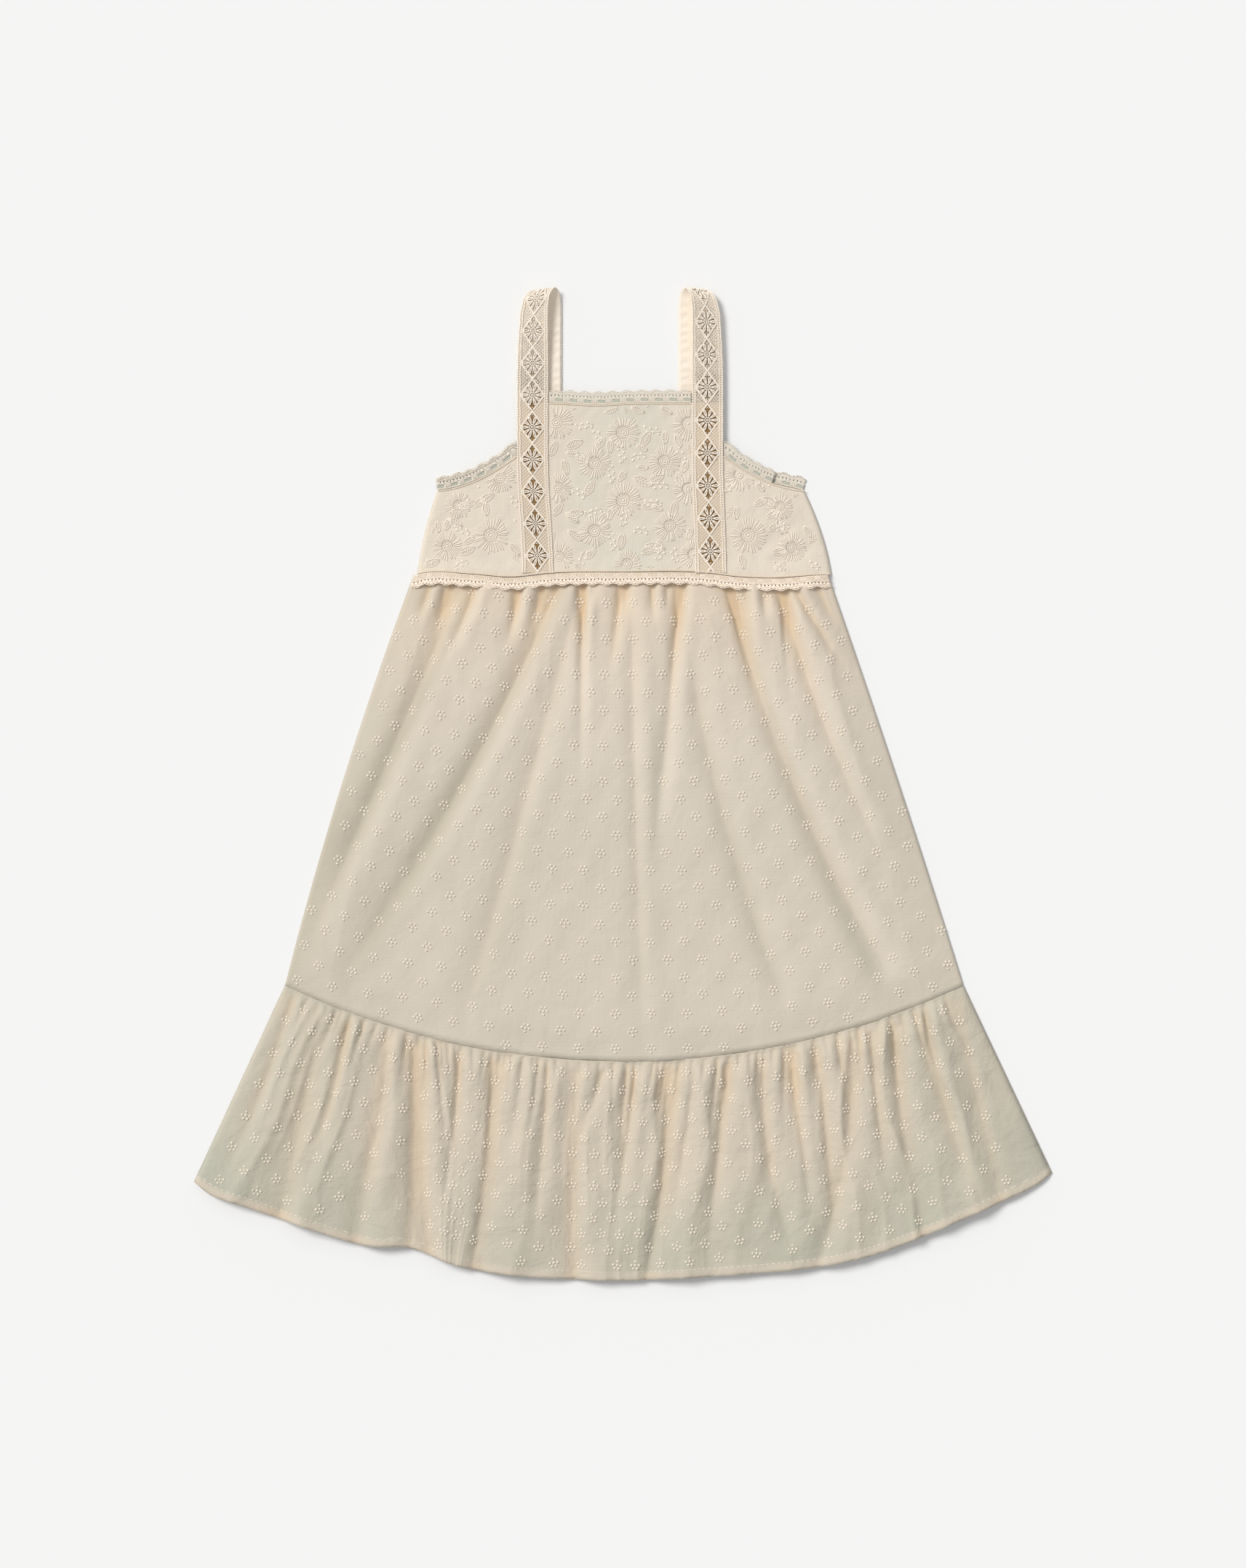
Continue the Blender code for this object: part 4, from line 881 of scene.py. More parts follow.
# The bodice's lower edge, pushed about.
WAIST_LINE_X = (-170, -163, -120, -91, -56, -4, 66, 90, 116, 160, 170)
WAIST_LINE_Y = (165.2, 167.3, 167.3, 165.0, 168.2, 168.9, 168.3, 165.4, 164.2, 166.6, 166.6)
BODICE_FOLDS = (  # from x, y to x, y, half width and depth
    (-142, 222, -92, 178, 6, 0.9),
    (-158, 196, -104, 170, 5, 0.7),
    (140, 214, 96, 176, 6, 0.9),
    (158, 192, 112, 172, 5, 0.8),
    (-47, 244, -36, 222, 2, 0.5),
    (-40, 300, -20, 262, 9, 0.5),
    (60, 262, 22, 238, 7, 0.4),
)
CORD_RADIUS, CORD_TURN = 0.42, 3.2
SIDE_COLUMNS, MIDDLE_COLUMNS, UPPER_ROWS, LOWER_ROWS = 42, 90, 26, 56


def bodice_middle(y):
    """The bodice lies a little askew: its middle line leans from the waist to the armholes."""
    return mix(1.0, -2.4, ease((y - BODICE_LOW_Y) / 95.0))


def band_outer_edge(y):
    """Distance from the middle line to the outer edge of a lace band."""
    return mix(81.2, 82.0, ease((y - BODICE_LOW_Y) / 95.0))


def armhole_y(away):
    """The armhole's curve: a power of the distance in from its outer corner."""
    inner = band_outer_edge(ARM_TOP_Y) - 0.6
    share = np.clip((ARM_CORNER_X - away) / (ARM_CORNER_X - inner), 0, 1)
    return ARM_CORNER_Y + ARM_RISE * share**ARM_POWER


def back_top_y(away):
    """The back's upper edge, which rises from its corners to the middle."""
    return BACK_CORNER_Y + BACK_RISE * (1 - np.exp(-(ARM_CORNER_X - away) / 48.0))


def neck_y(x):
    """The neckline, a little lower left of the middle."""
    return NECK_Y - 1.6 * np.exp(-(((x + 22.0) / 22.0) ** 2))


def waist_y(x):
    """The bodice's lower edge."""
    return smooth_through(x, WAIST_LINE_X, WAIST_LINE_Y)


def side_x(share):
    """Distance from the middle line to the side seam, at a share of the way from armhole to waist."""
    return mix(ARM_CORNER_X, SIDE_LOW_X, share) + SIDE_BULGE * 4 * share * (1 - share)


def bodice_rise(x, y):
    """Height of the front bodice: low at the sides, over the straps' ends inside, lifted at the waist."""
    away = np.abs(x - bodice_middle(y))
    share = np.clip((ARM_CORNER_Y - y) / (ARM_CORNER_Y - BODICE_LOW_Y), 0, 1)
    edge = mix(ARM_CORNER_X, SIDE_LOW_X, share)
    inward = ease((edge - away) / 48.0)
    waves = 0.35 * np.sin(x / 23.0 + 0.5) * np.sin(y / 31.0 + 1.0) + 0.25 * np.sin((x + 0.6 * y) / 17.0)
    waist = WAIST_LOFT * (1 - ease((y - BODICE_LOW_Y) / 16.0)) * np.clip((edge - away) / 22.0, 0, 1)
    return inward * (BODICE_LOFT + 0.35 + 0.6 * waves) + waist * (1 - 0.4 * inward)


def bodice_puckers(x, y):
    """Small uneven ripples that the stitching pulls into the cloth."""
    return 0.16 * np.sin(x / 3.1 + 1.9 * np.sin(y / 7.3)) * np.sin(y / 4.3 + 1.7 * np.sin(x / 6.1 + 0.7))


def bodice_face(x, y):
    """The front's upper face. Soft folds run across its sides, each a trough exp(-(d/w)^2) along a line."""
    height = FRONT_REST + WALL + bodice_rise(x, y) + bodice_puckers(x, y) + creases(x, y, 0.25)
    for x0, y0, x1, y1, width, depth in BODICE_FOLDS:
        length = np.hypot(x1 - x0, y1 - y0)
        along = ((x - x0) * (x1 - x0) + (y - y0) * (y1 - y0)) / length**2
        away = ((x - x0) * (y1 - y0) - (y - y0) * (x1 - x0)) / length
        ends = ease(along / 0.3) * (1 - ease((along - 0.7) / 0.3))
        height -= depth * np.exp(-((away / width) ** 2)) * ends
    return height


def bodice_plan(u, v):
    """u is 0 to 1 between the bands' outer edges, down to -1 and up to 2 beyond them.

    v is 0 at the neck, 1 level with the armholes' tops and 2 at the waist.
    """
    corner_y = ARM_TOP_Y
    out, low = np.clip(np.maximum(-u, u - 1), 0, 1), np.clip(v - 1, 0, 1)
    top_x = (2 * u - 1) * (band_outer_edge(NECK_Y) - 0.6) + bodice_middle(NECK_Y)
    low_y = waist_y(np.where(out > 0, np.sign(u) * mix(81, SIDE_LOW_X, out), (2 * u - 1) * 81))
    middle_y = np.where(v < 1, mix(neck_y(top_x), corner_y, v), mix(corner_y, low_y, low))
    top = armhole_y(mix(band_outer_edge(corner_y) - 0.6, ARM_CORNER_X, out))
    y = np.where(out > 0, mix(top, low_y, low), middle_y)
    inner = band_outer_edge(y) - 0.6
    x = np.where(out > 0, np.sign(u) * mix(inner, side_x(low), out), (2 * u - 1) * inner)
    return x + bodice_middle(y), y


def twisted_cord(path, radius, turn_length):
    """Two strands laid round each other along a path."""
    run = np.concatenate([[0.0], np.cumsum(np.linalg.norm(np.diff(path, axis=0), axis=1))])
    s = np.linspace(0, run[-1], int(run[-1] / turn_length * 6))
    middle = np.stack([np.interp(s, run, path[:, k]) for k in range(3)], axis=-1)
    ahead = np.gradient(middle, axis=0)
    across = np.cross(ahead, (0.0, 0.0, 1.0))
    across /= np.linalg.norm(across, axis=-1, keepdims=True)
    angle = 2 * np.pi * s / turn_length
    round_it = across * np.cos(angle)[:, None] + np.outer(np.sin(angle), (0, 0, 1))
    pair = [middle + 0.75 * radius * turned * round_it for turned in (1, -1)]
    return strands(np.stack(pair), radius, sides=4)


u = np.concatenate([
    np.linspace(-1, 0, SIDE_COLUMNS + 1)[:-1],
    np.linspace(0, 1, MIDDLE_COLUMNS + 1),
    np.linspace(1, 2, SIDE_COLUMNS + 1)[1:],
])
v = np.concatenate([np.linspace(0, 1, UPPER_ROWS + 1)[:-1], np.linspace(1, 2, LOWER_ROWS + 1)])
middle_u, middle_v = 0.5 * (u[1:] + u[:-1]), 0.5 * (v[1:] + v[:-1])
keep = ((middle_u > 0) & (middle_u < 1))[:, None] | (middle_v > 1)
u, v = np.meshgrid(u, v, indexing="ij")
x, y = bodice_plan(u, v)
from_side = side_x(np.clip(v - 1, 0, 1)) - np.abs(x - bodice_middle(y))
from_side = np.where((v < 1) | ((u > 0) & (u < 1)), 9.0, from_side)
# Painted shade: the bodice's middle is greyer, in uneven patches, as shade seen through its thin cloth.
painted_middle_shade = 0.55 * np.exp(-((x / 46) ** 4)) * (0.6 + 0.4 * np.sin(x / 17 + 1) * np.sin(y / 21))
bodice_lawn = lawn("cotton_lawn_bodice", lit="#E4D8C7", painted_shade="#D5D3C6", crumple=0.0018)
bodice_front = cloth_piece(
    "bodice_front_cloth",
    np.stack([x, y, rolled(bodice_face(x, y), from_side)], axis=-1),
    np.stack([x, y], axis=-1),
    0.0,
    painted_middle_shade,
    bodice_lawn,
    ["bodice_front"],
    keep=keep,
)

u, v = np.meshgrid(np.linspace(0, 1, 61), np.linspace(0, 1, 21), indexing="ij")
y = mix(back_top_y(np.abs(2 * u - 1) * ARM_CORNER_X), BODICE_LOW_Y, v)
x = (2 * u - 1) * side_x(v) + bodice_middle(y)
bodice_back = cloth_piece(
    "bodice_back_cloth",
    np.stack([x, y, under_form(x, y)], axis=-1),
    np.stack([x, y], axis=-1),
    0.0,
    0.0,
    bodice_lawn,
    ["bodice_back"],
    up=False,
)


def on_bodice(x, y, lift):
    """Points raised by lift over the bodice's face."""
    return np.stack([x, y, bodice_face(x, y) + lift], axis=-1)


inner_reach = band_outer_edge(NECK_Y) - BAND_WIDTH + 0.5
x = np.linspace(-inner_reach, inner_reach, 90) + bodice_middle(NECK_Y)
cords = [twisted_cord(on_bodice(x, neck_y(x) - 0.5, 0.3), CORD_RADIUS, CORD_TURN)]
away = np.linspace(band_outer_edge(ARM_TOP_Y), ARM_CORNER_X, 60)
for side in (-1, 1):
    y = armhole_y(away) - 0.5
    path = on_bodice(side * away + bodice_middle(y), y, 0.3)
    cords.append(twisted_cord(path, CORD_RADIUS, CORD_TURN))
x = np.linspace(-163.6, 164.4, 200)
cords.append(twisted_cord(on_bodice(x, waist_y(x) + 0.6, 0.5), CORD_RADIUS * 1.15, CORD_TURN))
cord_yarn = thread("twisted_cotton_cord", "#F0E2CE")
bodice_cords, _ = new_piece("bodice_cords", cords, cord_yarn)


# The bodice's embroidery, open flowers with berries and leaves between.
# It is worked in soft cotton thread of the cloth's own colour, so that it shows only by its relief; the
# thread is painted lighter than the cloth, to make up for the shade among its stitches.

FLOWERS = (  # x, y and radius of each flower
    (-53, 288, 14), (0, 280, 14), (52, 287, 14), (-22.5, 255.5, 13.5), (33, 257, 13), (0.3, 226, 14.5),
    (-22.5, 201.5, 13.5), (37.5, 205.5, 13), (-98, 244, 13), (93, 246, 13), (-105, 198, 15), (99.7, 198, 15),
    (-140, 189.5, 12), (134.5, 188.5, 12), (3.5, 175, 12), (52, 235, 13), (-52, 236, 12), (56, 183, 12),
    (-51, 181, 12), (-131, 222, 11), (125, 221, 11),
)
LEAVES = (  # x, y, direction in degrees and length of each veined leaf
    (-46, 268, 20, 15), (-38, 262, -30, 13), (14, 268, 60, 15), (8, 244, -20, 17), (20, 240, 25, 14),
    (17, 190, -10, 17), (14, 184, 20, 15), (-44, 202, -35, 14), (-45, 214, 10, 14), (-4, 300, 200, 12),
    (6, 300, -20, 12), (46, 268, 110, 12), (-118, 225, 200, 14), (-84, 222, -60, 14), (110, 228, -20, 14),
    (114, 212, 30, 13), (-128, 205, 150, 13), (88, 222, 240, 14), (-90, 182, -20, 14), (118, 184, 10, 13),
    (-20, 300, 10, 12), (22, 301, 170, 12), (-150, 206, 240, 11), (144, 206, -60, 11),
)
SPRIGS = (  # x, y, direction in degrees and number of berries of each sprig
    (-38, 284, 10, 6), (-17, 272, 120, 5), (16, 283, -10, 6), (43, 268, -60, 6), (0, 256, 100, 7),
    (18, 262, -170, 5), (-8, 240, 100, 6), (17, 224, 0, 6), (-17, 219, 200, 6), (0, 205, 80, 6),
    (20, 201, 170, 5), (-7, 186, 100, 6), (36, 238, 180, 6), (-30, 186, 250, 5), (40, 188, -80, 5),
    (-86, 208, 30, 5), (-122, 200, 160, 6), (82, 232, 60, 5), (108, 238, 10, 5), (119, 202, 20, 6),
    (-113, 238, 150, 5), (-90, 228, -40, 5), (82, 206, 140, 5), (-152, 178, 200, 4), (148, 176, -20, 4),
    (-30, 229, 150, 5), (27, 178, 60, 5), (-124, 178, 210, 5), (119, 176, -30, 5),
)
STITCHES = 32  # round each flower
STITCH_RADIUS = 0.46
STITCH_RISE = 0.28


def inside_bodice(x, y):
    """On the front panel, clear of its cords, its edges and the lace bands."""
    away = np.abs(x - bodice_middle(y))
    outer = band_outer_edge(y)
    middle = (away < outer - BAND_WIDTH - 0.7) & (y < neck_y(x) - 2.2)
    side = (away > outer + 0.7) & (away < side_x(0 * y) - 2.5 + 0.28 * (ARM_CORNER_Y - y))
    side = side & (y < armhole_y(away) - 2.2)
    return (middle | side) & (y > waist_y(x) + 2.0)


def stitched(x, y, radius, flat=0.8, looped=False):
    """Threads along plan paths on the bodice. One that would leave the panel isn't worked."""
    kept = inside_bodice(x, y).all(axis=1)
    x, y = x[kept], y[kept]
    radius = np.broadcast_to(radius, (len(kept), x.shape[1]))[kept]
    return strands(on_bodice(x, y, STITCH_RISE), radius, sides=4, flat=flat, looped=looped)


def turned(places, ahead, right, angle):
    """Plan places from distances ahead and to the right of (x, y), turned by an angle."""
    cos, sin = np.cos(angle), np.sin(angle)
    return places[0] + ahead * cos + right * sin, places[1] + ahead * sin - right * cos


chance = np.random.RandomState(21)
worked, berries = [], []
along = np.linspace(0, 1, 6)
taper = np.array([0.6, 0.95, 1.0, 1.05, 1.0, 0.55])
for x0, y0, size in FLOWERS:
    turn = 2 * np.pi * (np.arange(STITCHES) + chance.uniform(-0.22, 0.22, STITCHES)) / STITCHES
    reach = size * chance.uniform(0.86, 1.03, STITCHES)[:, None]
    ahead = mix(0.34 * size, reach, along)
    bent = chance.uniform(-1.1, 1.1, STITCHES)[:, None] * along**2
    worked.append(stitched(*turned((x0, y0), ahead, bent, turn[:, None]), STITCH_RADIUS * taper))
    ring = np.linspace(0, 2 * np.pi, 16, endpoint=False)[None]
    for radius in (0.29 * size, 0.17 * size):
        circle = radius * (1 + 0.06 * np.sin(5 * ring))
        worked.append(stitched(x0 + circle * np.cos(ring), y0 + circle * np.sin(ring), 0.42, looped=True))
    berries.append((x0, y0, 1.05))
leaves = list(LEAVES)
for x0, y0, size in FLOWERS:
    for start in chance.uniform(0, 120) + np.array([0, 115, 235]):
        away = np.radians(start)
        root = (x0 + 1.06 * size * np.cos(away), y0 + 1.06 * size * np.sin(away))
        leaves.append((*root, start + chance.uniform(-55, 55), chance.uniform(9, 14)))
for x0, y0, degrees, length in leaves:
    angle = np.radians(degrees)
    half = 0.21 * length
    t = np.linspace(0.02, 0.98, 9)
    for side in (-1, 1):
        edge = side * half * np.sin(np.pi * t) ** 0.8
        x, y = turned((x0, y0), t * length, edge, angle)
        worked.append(stitched(x[None], y[None], 0.42))
        root = np.linspace(0.12, 0.72, 5)[:, None]
        vein = root + 0.16 * along
        x, y = turned((x0, y0), vein * length, side * 0.80 * half * np.sin(np.pi * vein) * along, angle)
        worked.append(stitched(x, y, 0.30))
    x, y = turned((x0, y0), t * length, 0.04 * length * np.sin(np.pi * t), angle)
    worked.append(stitched(x[None], y[None], 0.34))
for x0, y0, degrees, count in SPRIGS:
    angle = np.radians(degrees)
    t = np.linspace(0, 1, 8)
    x, y = turned((x0, y0), t * 2.4 * count, 1.4 * np.sin(np.pi * t), angle)
    worked.append(stitched(x[None], y[None], 0.30))
    for k in range(count):
        side = (k % 2 * 2 - 1) * chance.uniform(1.3, 2.2)
        x, y = turned((x0, y0), 2.4 * (k + 0.4), side, angle)
        berries.append((x, y, chance.uniform(0.95, 1.3)))
berries = np.array([row for row in berries if inside_bodice(row[0], row[1])])
centres, across, outward = surface_at(bodice_face, berries[:, 0], berries[:, 1])
worked.append(knots(centres, across, outward, berries[:, 2], 0.75, sides=8))
# Painted light: the thread is lighter than the cloth, to make up for the shade among its stitches.
stitch_yarn_painted_light = thread("cotton_embroidery_thread_painted_light", "#F9EEDF")
embroidery, _ = new_piece("bodice_embroidery", worked, stitch_yarn_painted_light)


# The two straps, bands of lawn from the neckline over the shoulder and down inside the back.
# Where they turn, the cloth stands up in a soft loop. Their wrong side shows behind, puckered by stitching.

STRAP_CLOTH_WIDTH = 23.4
STRAP_THICK = 1.0  # of the strap's solid
BAND_START_Y = 167.4
STRAP_EDGES = {  # the strap's two edges, as distances from the bodice's middle line, heights and levels
    "outer_x": (82.0, 82.0, 81.4, 80.2, 78.3, 75.0, 70.6, 68.6, 69.6, 71.2, 71.2, 71.2, 71.2),
    "outer_y": (303.8, 322.0, 342.0, 362.0, 379.0, 388.2, 391.9, 389.6, 383.5, 365.0, 320.0, 261.0, 226.0),
    "outer_z": (4.1, 4.1, 4.3, 4.7, 5.0, 4.9, 3.7, 2.5, 2.1, 1.85, 1.8, 1.8, 2.1),
    "inner_x": (57.4, 57.3, 57.3, 57.3, 56.9, 55.2, 51.2, 48.2, 47.0, 46.6, 46.6, 46.6, 46.6),
    "inner_y": (303.8, 322.0, 342.0, 362.0, 380.0, 389.6, 394.0, 391.0, 384.0, 365.0, 320.0, 261.0, 226.0),
    "inner_z": (4.1, 4.3, 5.2, 7.0, 8.9, 9.3, 7.0, 4.1, 2.5, 1.9, 1.8, 1.8, 2.1),
}
BODICE_STATIONS = 9
TURNED_STATION = BODICE_STATIONS + 6  # past the turn over the shoulder
TURN_SPREAD = 20.0


def strap_stations(side):
    """The distance along the strap of each station, from the waist to its end, and its two edges."""
    low_y = np.linspace(BAND_START_Y, 296.0, BODICE_STATIONS)
    edges = {}
    for edge, inset in (("outer", 0.0), ("inner", BAND_WIDTH)):
        low_x = side * (band_outer_edge(low_y) - inset) + bodice_middle(low_y)
        low_z = FRONT_REST + bodice_rise(low_x, low_y) + WALL - STRAP_THICK / 2
        high_x = side * np.array(STRAP_EDGES[edge + "_x"]) + bodice_middle(NECK_Y)
        edges[edge] = np.stack([
            np.concatenate([low_x, high_x]),
            np.concatenate([low_y, STRAP_EDGES[edge + "_y"]]),
            np.concatenate([low_z, STRAP_EDGES[edge + "_z"]]),
        ])
    steps = np.linalg.norm(np.diff(0.5 * (edges["outer"] + edges["inner"]), axis=1), axis=0)
    return np.concatenate([[0.0], np.cumsum(steps)]), edges


def strap_place(side, s, t, lift=0.0):
    """Points at s along the strap and t out from its middle, raised by lift, and their outward normals."""
    stations, edges = strap_stations(side)
    s, t = np.broadcast_arrays(np.asarray(s, float), np.asarray(t, float))

    def at(s, t):
        outer, inner = (
            np.stack([smooth_through(s, stations, line) for line in edges[edge]], axis=-1)
            for edge in ("outer", "inner")
        )
        return mix(outer, inner, (0.5 - t / BAND_WIDTH)[..., None])

    outward = side * np.cross(at(s, t + 0.2) - at(s, t - 0.2), at(s + 0.2, t) - at(s - 0.2, t))
    outward /= np.linalg.norm(outward, axis=-1, keepdims=True)
    return at(s, t) + outward * np.expand_dims(np.broadcast_to(lift, s.shape), -1), outward


# The same lawn, painted lighter, to make up for the shade that the straps lie in.
strap_lawn_painted_light = lawn("cotton_lawn_strap_painted_light", lit="#FCF1E1")
for name, side in (("left", -1), ("right", 1)):
    stations, _ = strap_stations(side)
    neck, end = stations[BODICE_STATIONS] + 0.2, stations[-1]
    across = np.linspace(-1, 1, 19) * STRAP_CLOTH_WIDTH / 2
    s, t = np.meshgrid(np.arange(neck, end, 1.15), across, indexing="ij")
    behind = ease((s - stations[TURNED_STATION]) / TURN_SPREAD)
    ripple = np.sin(s / 1.15 + 0.8 * np.sin(s / 5.3)) * np.exp(-(((np.abs(t) - 7.6) / 2.6) ** 2))
    points, _ = strap_place(side, s, t, STRAP_THICK / 2 - 0.30 * behind * (1 + ripple))
    # The fold attribute paints a little warm shade into the puckers behind the turn.
    cloth_piece(
        f"strap_{name}_cloth",
        points,
        np.stack([t, s], axis=-1),
        0.10 * behind * (1 + ripple),
        0.0,
        strap_lawn_painted_light,
        [f"strap_{name}"],
        up=side < 0,
    )


# The lace bands, from the waist up over the front of the bodice and along each strap.
# They are cotton guipure: corded daisies in diamonds of raised cord, on a net between two corded rails.

DAISY_PITCH = {"left": 25.6, "right": 26.1}
FIRST_DAISY = {"left": 14.4, "right": 18.0}
PETALS = 10
NET_PITCH = 2.0  # the real net is more than twice as fine, too small to show
FLOWER_REACH = 9.0
GROUND_LIFT, NET_LIFT, CORD_LIFT, PETAL_LIFT = 0.85, 1.05, 1.35, 1.6
GROUND_THICK = 0.15
PAINTED_SHADE_GROUND, CLOSE_GROUND = "#8C6E49", "#D8C6AE"
painted_shade_ground = thread("shaded_net_ground", PAINTED_SHADE_GROUND)  # painted shade: the cloth below, in shade, seen dimly through the finest net
close_ground = thread("close_net_ground", CLOSE_GROUND)
lace_thread = thread("corded_cotton_lace", "#FCF1E2")


def band_threads(side, s, t, lift, radius, sides=4, flat=0.8, looped=False):
    """Tubes on the strap. Behind, where strap and table press the lace, they lie lower."""
    stations, _ = strap_stations(side)
    pressed = ease((s - stations[TURNED_STATION]) / TURN_SPREAD)
    points, outward = strap_place(side, s, t, lift * mix(1.0, 0.62, pressed))
    return strands(points, radius, outward, sides, flat, looped)


for name, side in (("left", -1), ("right", 1)):
    stations, _ = strap_stations(side)
    end = stations[-2]
    half = BAND_WIDTH / 2
    pitch, first = DAISY_PITCH[name], FIRST_DAISY[name]
    long_s = np.arange(0.3, end, 1.9)[None]
    across = np.linspace(-half + 0.7, half - 0.7, 16)
    s, t = np.meshgrid(np.arange(0.3, end, 1.2), across, indexing="ij")
    points, _ = strap_place(side, s, t, GROUND_LIFT)
    middle_s, middle_t = (0.5 * (line[1:, 1:] + line[:-1, :-1]) for line in (s, t))
    from_flower = np.abs(middle_s - first - pitch * np.round((middle_s - first) / pitch))
    shaded_diamond = from_flower / (0.5 * pitch) + np.abs(middle_t) / (half - 2.9) < 1.0
    # Inside the diamonds the ground is painted dark as shade; elsewhere it is the paler net.
    for title, keep, paint in (("open", shaded_diamond, painted_shade_ground), ("close", ~shaded_diamond, close_ground)):
        parts = [(points, [grid_faces(*s.shape, keep, up=side < 0)])]
        ground, _ = new_piece(f"lace_band_{name}_{title}_ground", parts, paint)
        thicken(ground, "net_thickness", GROUND_THICK)
    parts = []
    rails = ((half - 0.5, 0.46, CORD_LIFT), (half - 2.6, 0.46, CORD_LIFT), (half - 1.5, 0.25, NET_LIFT))
    for t, radius, lift in rails:
        for edge in (-1, 1):
            wave = edge * (t + 0.12 * np.sin(long_s / 1.9))
            parts.append(band_threads(side, long_s, wave, lift, radius, 5, 1.0))
    rung_s = np.arange(1.0, end - 1, 1.95)[:, None]
    for edge in (-1, 1):
        rung_t = edge * np.array([half - 2.6, half - 1.5, half - 0.4, half + 0.35])[None]
        lean = rung_s + np.array([0.0, 0.15, 0.35, 0.6])
        parts.append(band_threads(side, lean, rung_t, NET_LIFT + 0.1, 0.36))
    inner = half - 2.9
    for lean in (-1, 1):
        start = np.arange(-2 * inner, end + 2 * inner, NET_PITCH * 1.35)[:, None]
        t = np.broadcast_to(np.linspace(-inner, inner, 14), (len(start), 14))
        s = start + lean * t * 0.95
        s, t = (np.stack([line[:, :-1], line[:, 1:]], axis=-1).reshape(-1, 2) for line in (s, t))
        flower_s = first + pitch * np.round((s - first) / pitch)
        outside = np.hypot(s - flower_s, t).mean(axis=1) > FLOWER_REACH
        kept = outside & (s.min(axis=1) > 0.4) & (s.max(axis=1) < end - 0.4)
        parts.append(band_threads(side, s[kept], t[kept], NET_LIFT, 0.24, 3, 0.8))
    zigzag = 2 * np.abs(((long_s - first) / pitch + 0.5) % 1.0 - 0.5)
    for edge in (-1, 1):
        for offset in (-0.42, 0.42):
            t = edge * (inner + 0.1) * (1 - zigzag) + offset
            crossing = np.where(np.floor((long_s - first) / pitch + 0.5) % 2 > 0, 1, -1)
            parts.append(band_threads(side, long_s, t * crossing, CORD_LIFT + 0.12 * edge, 0.40, 5, 1.0))
    centre = np.arange(first, end - 6, pitch)
    petal = 2 * np.pi * (np.arange(PETALS) + 0.5) / PETALS
    s0, turn = (grid.ravel()[:, None] for grid in np.meshgrid(centre, petal))
    around = np.linspace(0, 2 * np.pi, 12, endpoint=False)[None]
    ahead = 5.6 + 2.7 * np.cos(around)
    beside = np.sin(around) * (0.66 + 0.30 * np.cos(around))
    s = s0 + ahead * np.cos(turn) - beside * np.sin(turn)
    t = np.clip(ahead * np.sin(turn) + beside * np.cos(turn), 0.9 - half, half - 0.9)
    parts.append(band_threads(side, s, t, PETAL_LIFT, 0.50, 5, 1.0, looped=True))
    ring = np.linspace(0, 2 * np.pi, 18, endpoint=False)[None]
    for radius, thick, lift in ((2.1, 0.45, PETAL_LIFT + 0.1), (0.75, 0.4, PETAL_LIFT + 0.2)):
        s, t = centre[:, None] + radius * np.cos(ring), radius * np.sin(ring)
        parts.append(band_threads(side, s, np.broadcast_to(t, s.shape), lift, thick, 5, 1.0, looped=True))
    nodes = [f"lace_band_{name}"]
    lace_band, _ = new_piece(f"lace_band_{name}_cords", parts, lace_thread, nodes)


# The edging lace round the neckline, the armholes, the back's upper edge and the waist.
# It is cotton crochet lace 10 mm wide: a foot with long gaps, a close body with small holes, and a
# scalloped edge.

EDGING_PITCH, EDGING_WIDTH = 11.5, 10.5
LUMP_SHARE = 0.43
EDGING_CELLS = 12
EDGING_ROWS = np.array([0.0, 0.8, 2.2, 3.7, 4.5, 5.3, 6.6, 7.5, 8.4, 9.3])
SCALLOP_DEPTH, BODY_START = 0.16, 3.2
LACE_SHEET_THICK = 0.3
# One crochet lace in two painted tones: darker, as shade, at the neck, armholes and back, and lighter, as
# light, at the waist.
edging_thread_painted_shade = thread("cotton_crochet_lace", "#E9E0D2")
waist_thread_painted_light = thread("cotton_crochet_lace_on_cloth", "#FDEFDE")
painted_table_shade_net = thread("painted_table_shade_in_gaps", "#BEC0B2")  # painted shade: a sheet in the lace's long gaps, coloured as the shaded table below them
# Painted shade: a sheet in the waist lace's long gaps, coloured as the shaded cloth below them.
painted_cloth_shade_net = thread("painted_cloth_shade_in_gaps", "#E2D3BE")


def along_curve(points):
    """The length of a plan curve, and a function from distance along it to (x, y) and its left normal."""
    run = np.concatenate([[0.0], np.cumsum(np.linalg.norm(np.diff(points, axis=0), axis=1))])

    def at(s):
        x, y = np.interp(s, run, points[:, 0]), np.interp(s, run, points[:, 1])
        dx = np.interp(s + 2, run, points[:, 0]) - np.interp(s - 2, run, points[:, 0])
        dy = np.interp(s + 2, run, points[:, 1]) - np.interp(s - 2, run, points[:, 1])
        size = np.hypot(dx, dy)
        return x, y, -dy / size, dx / size

    return run[-1], at


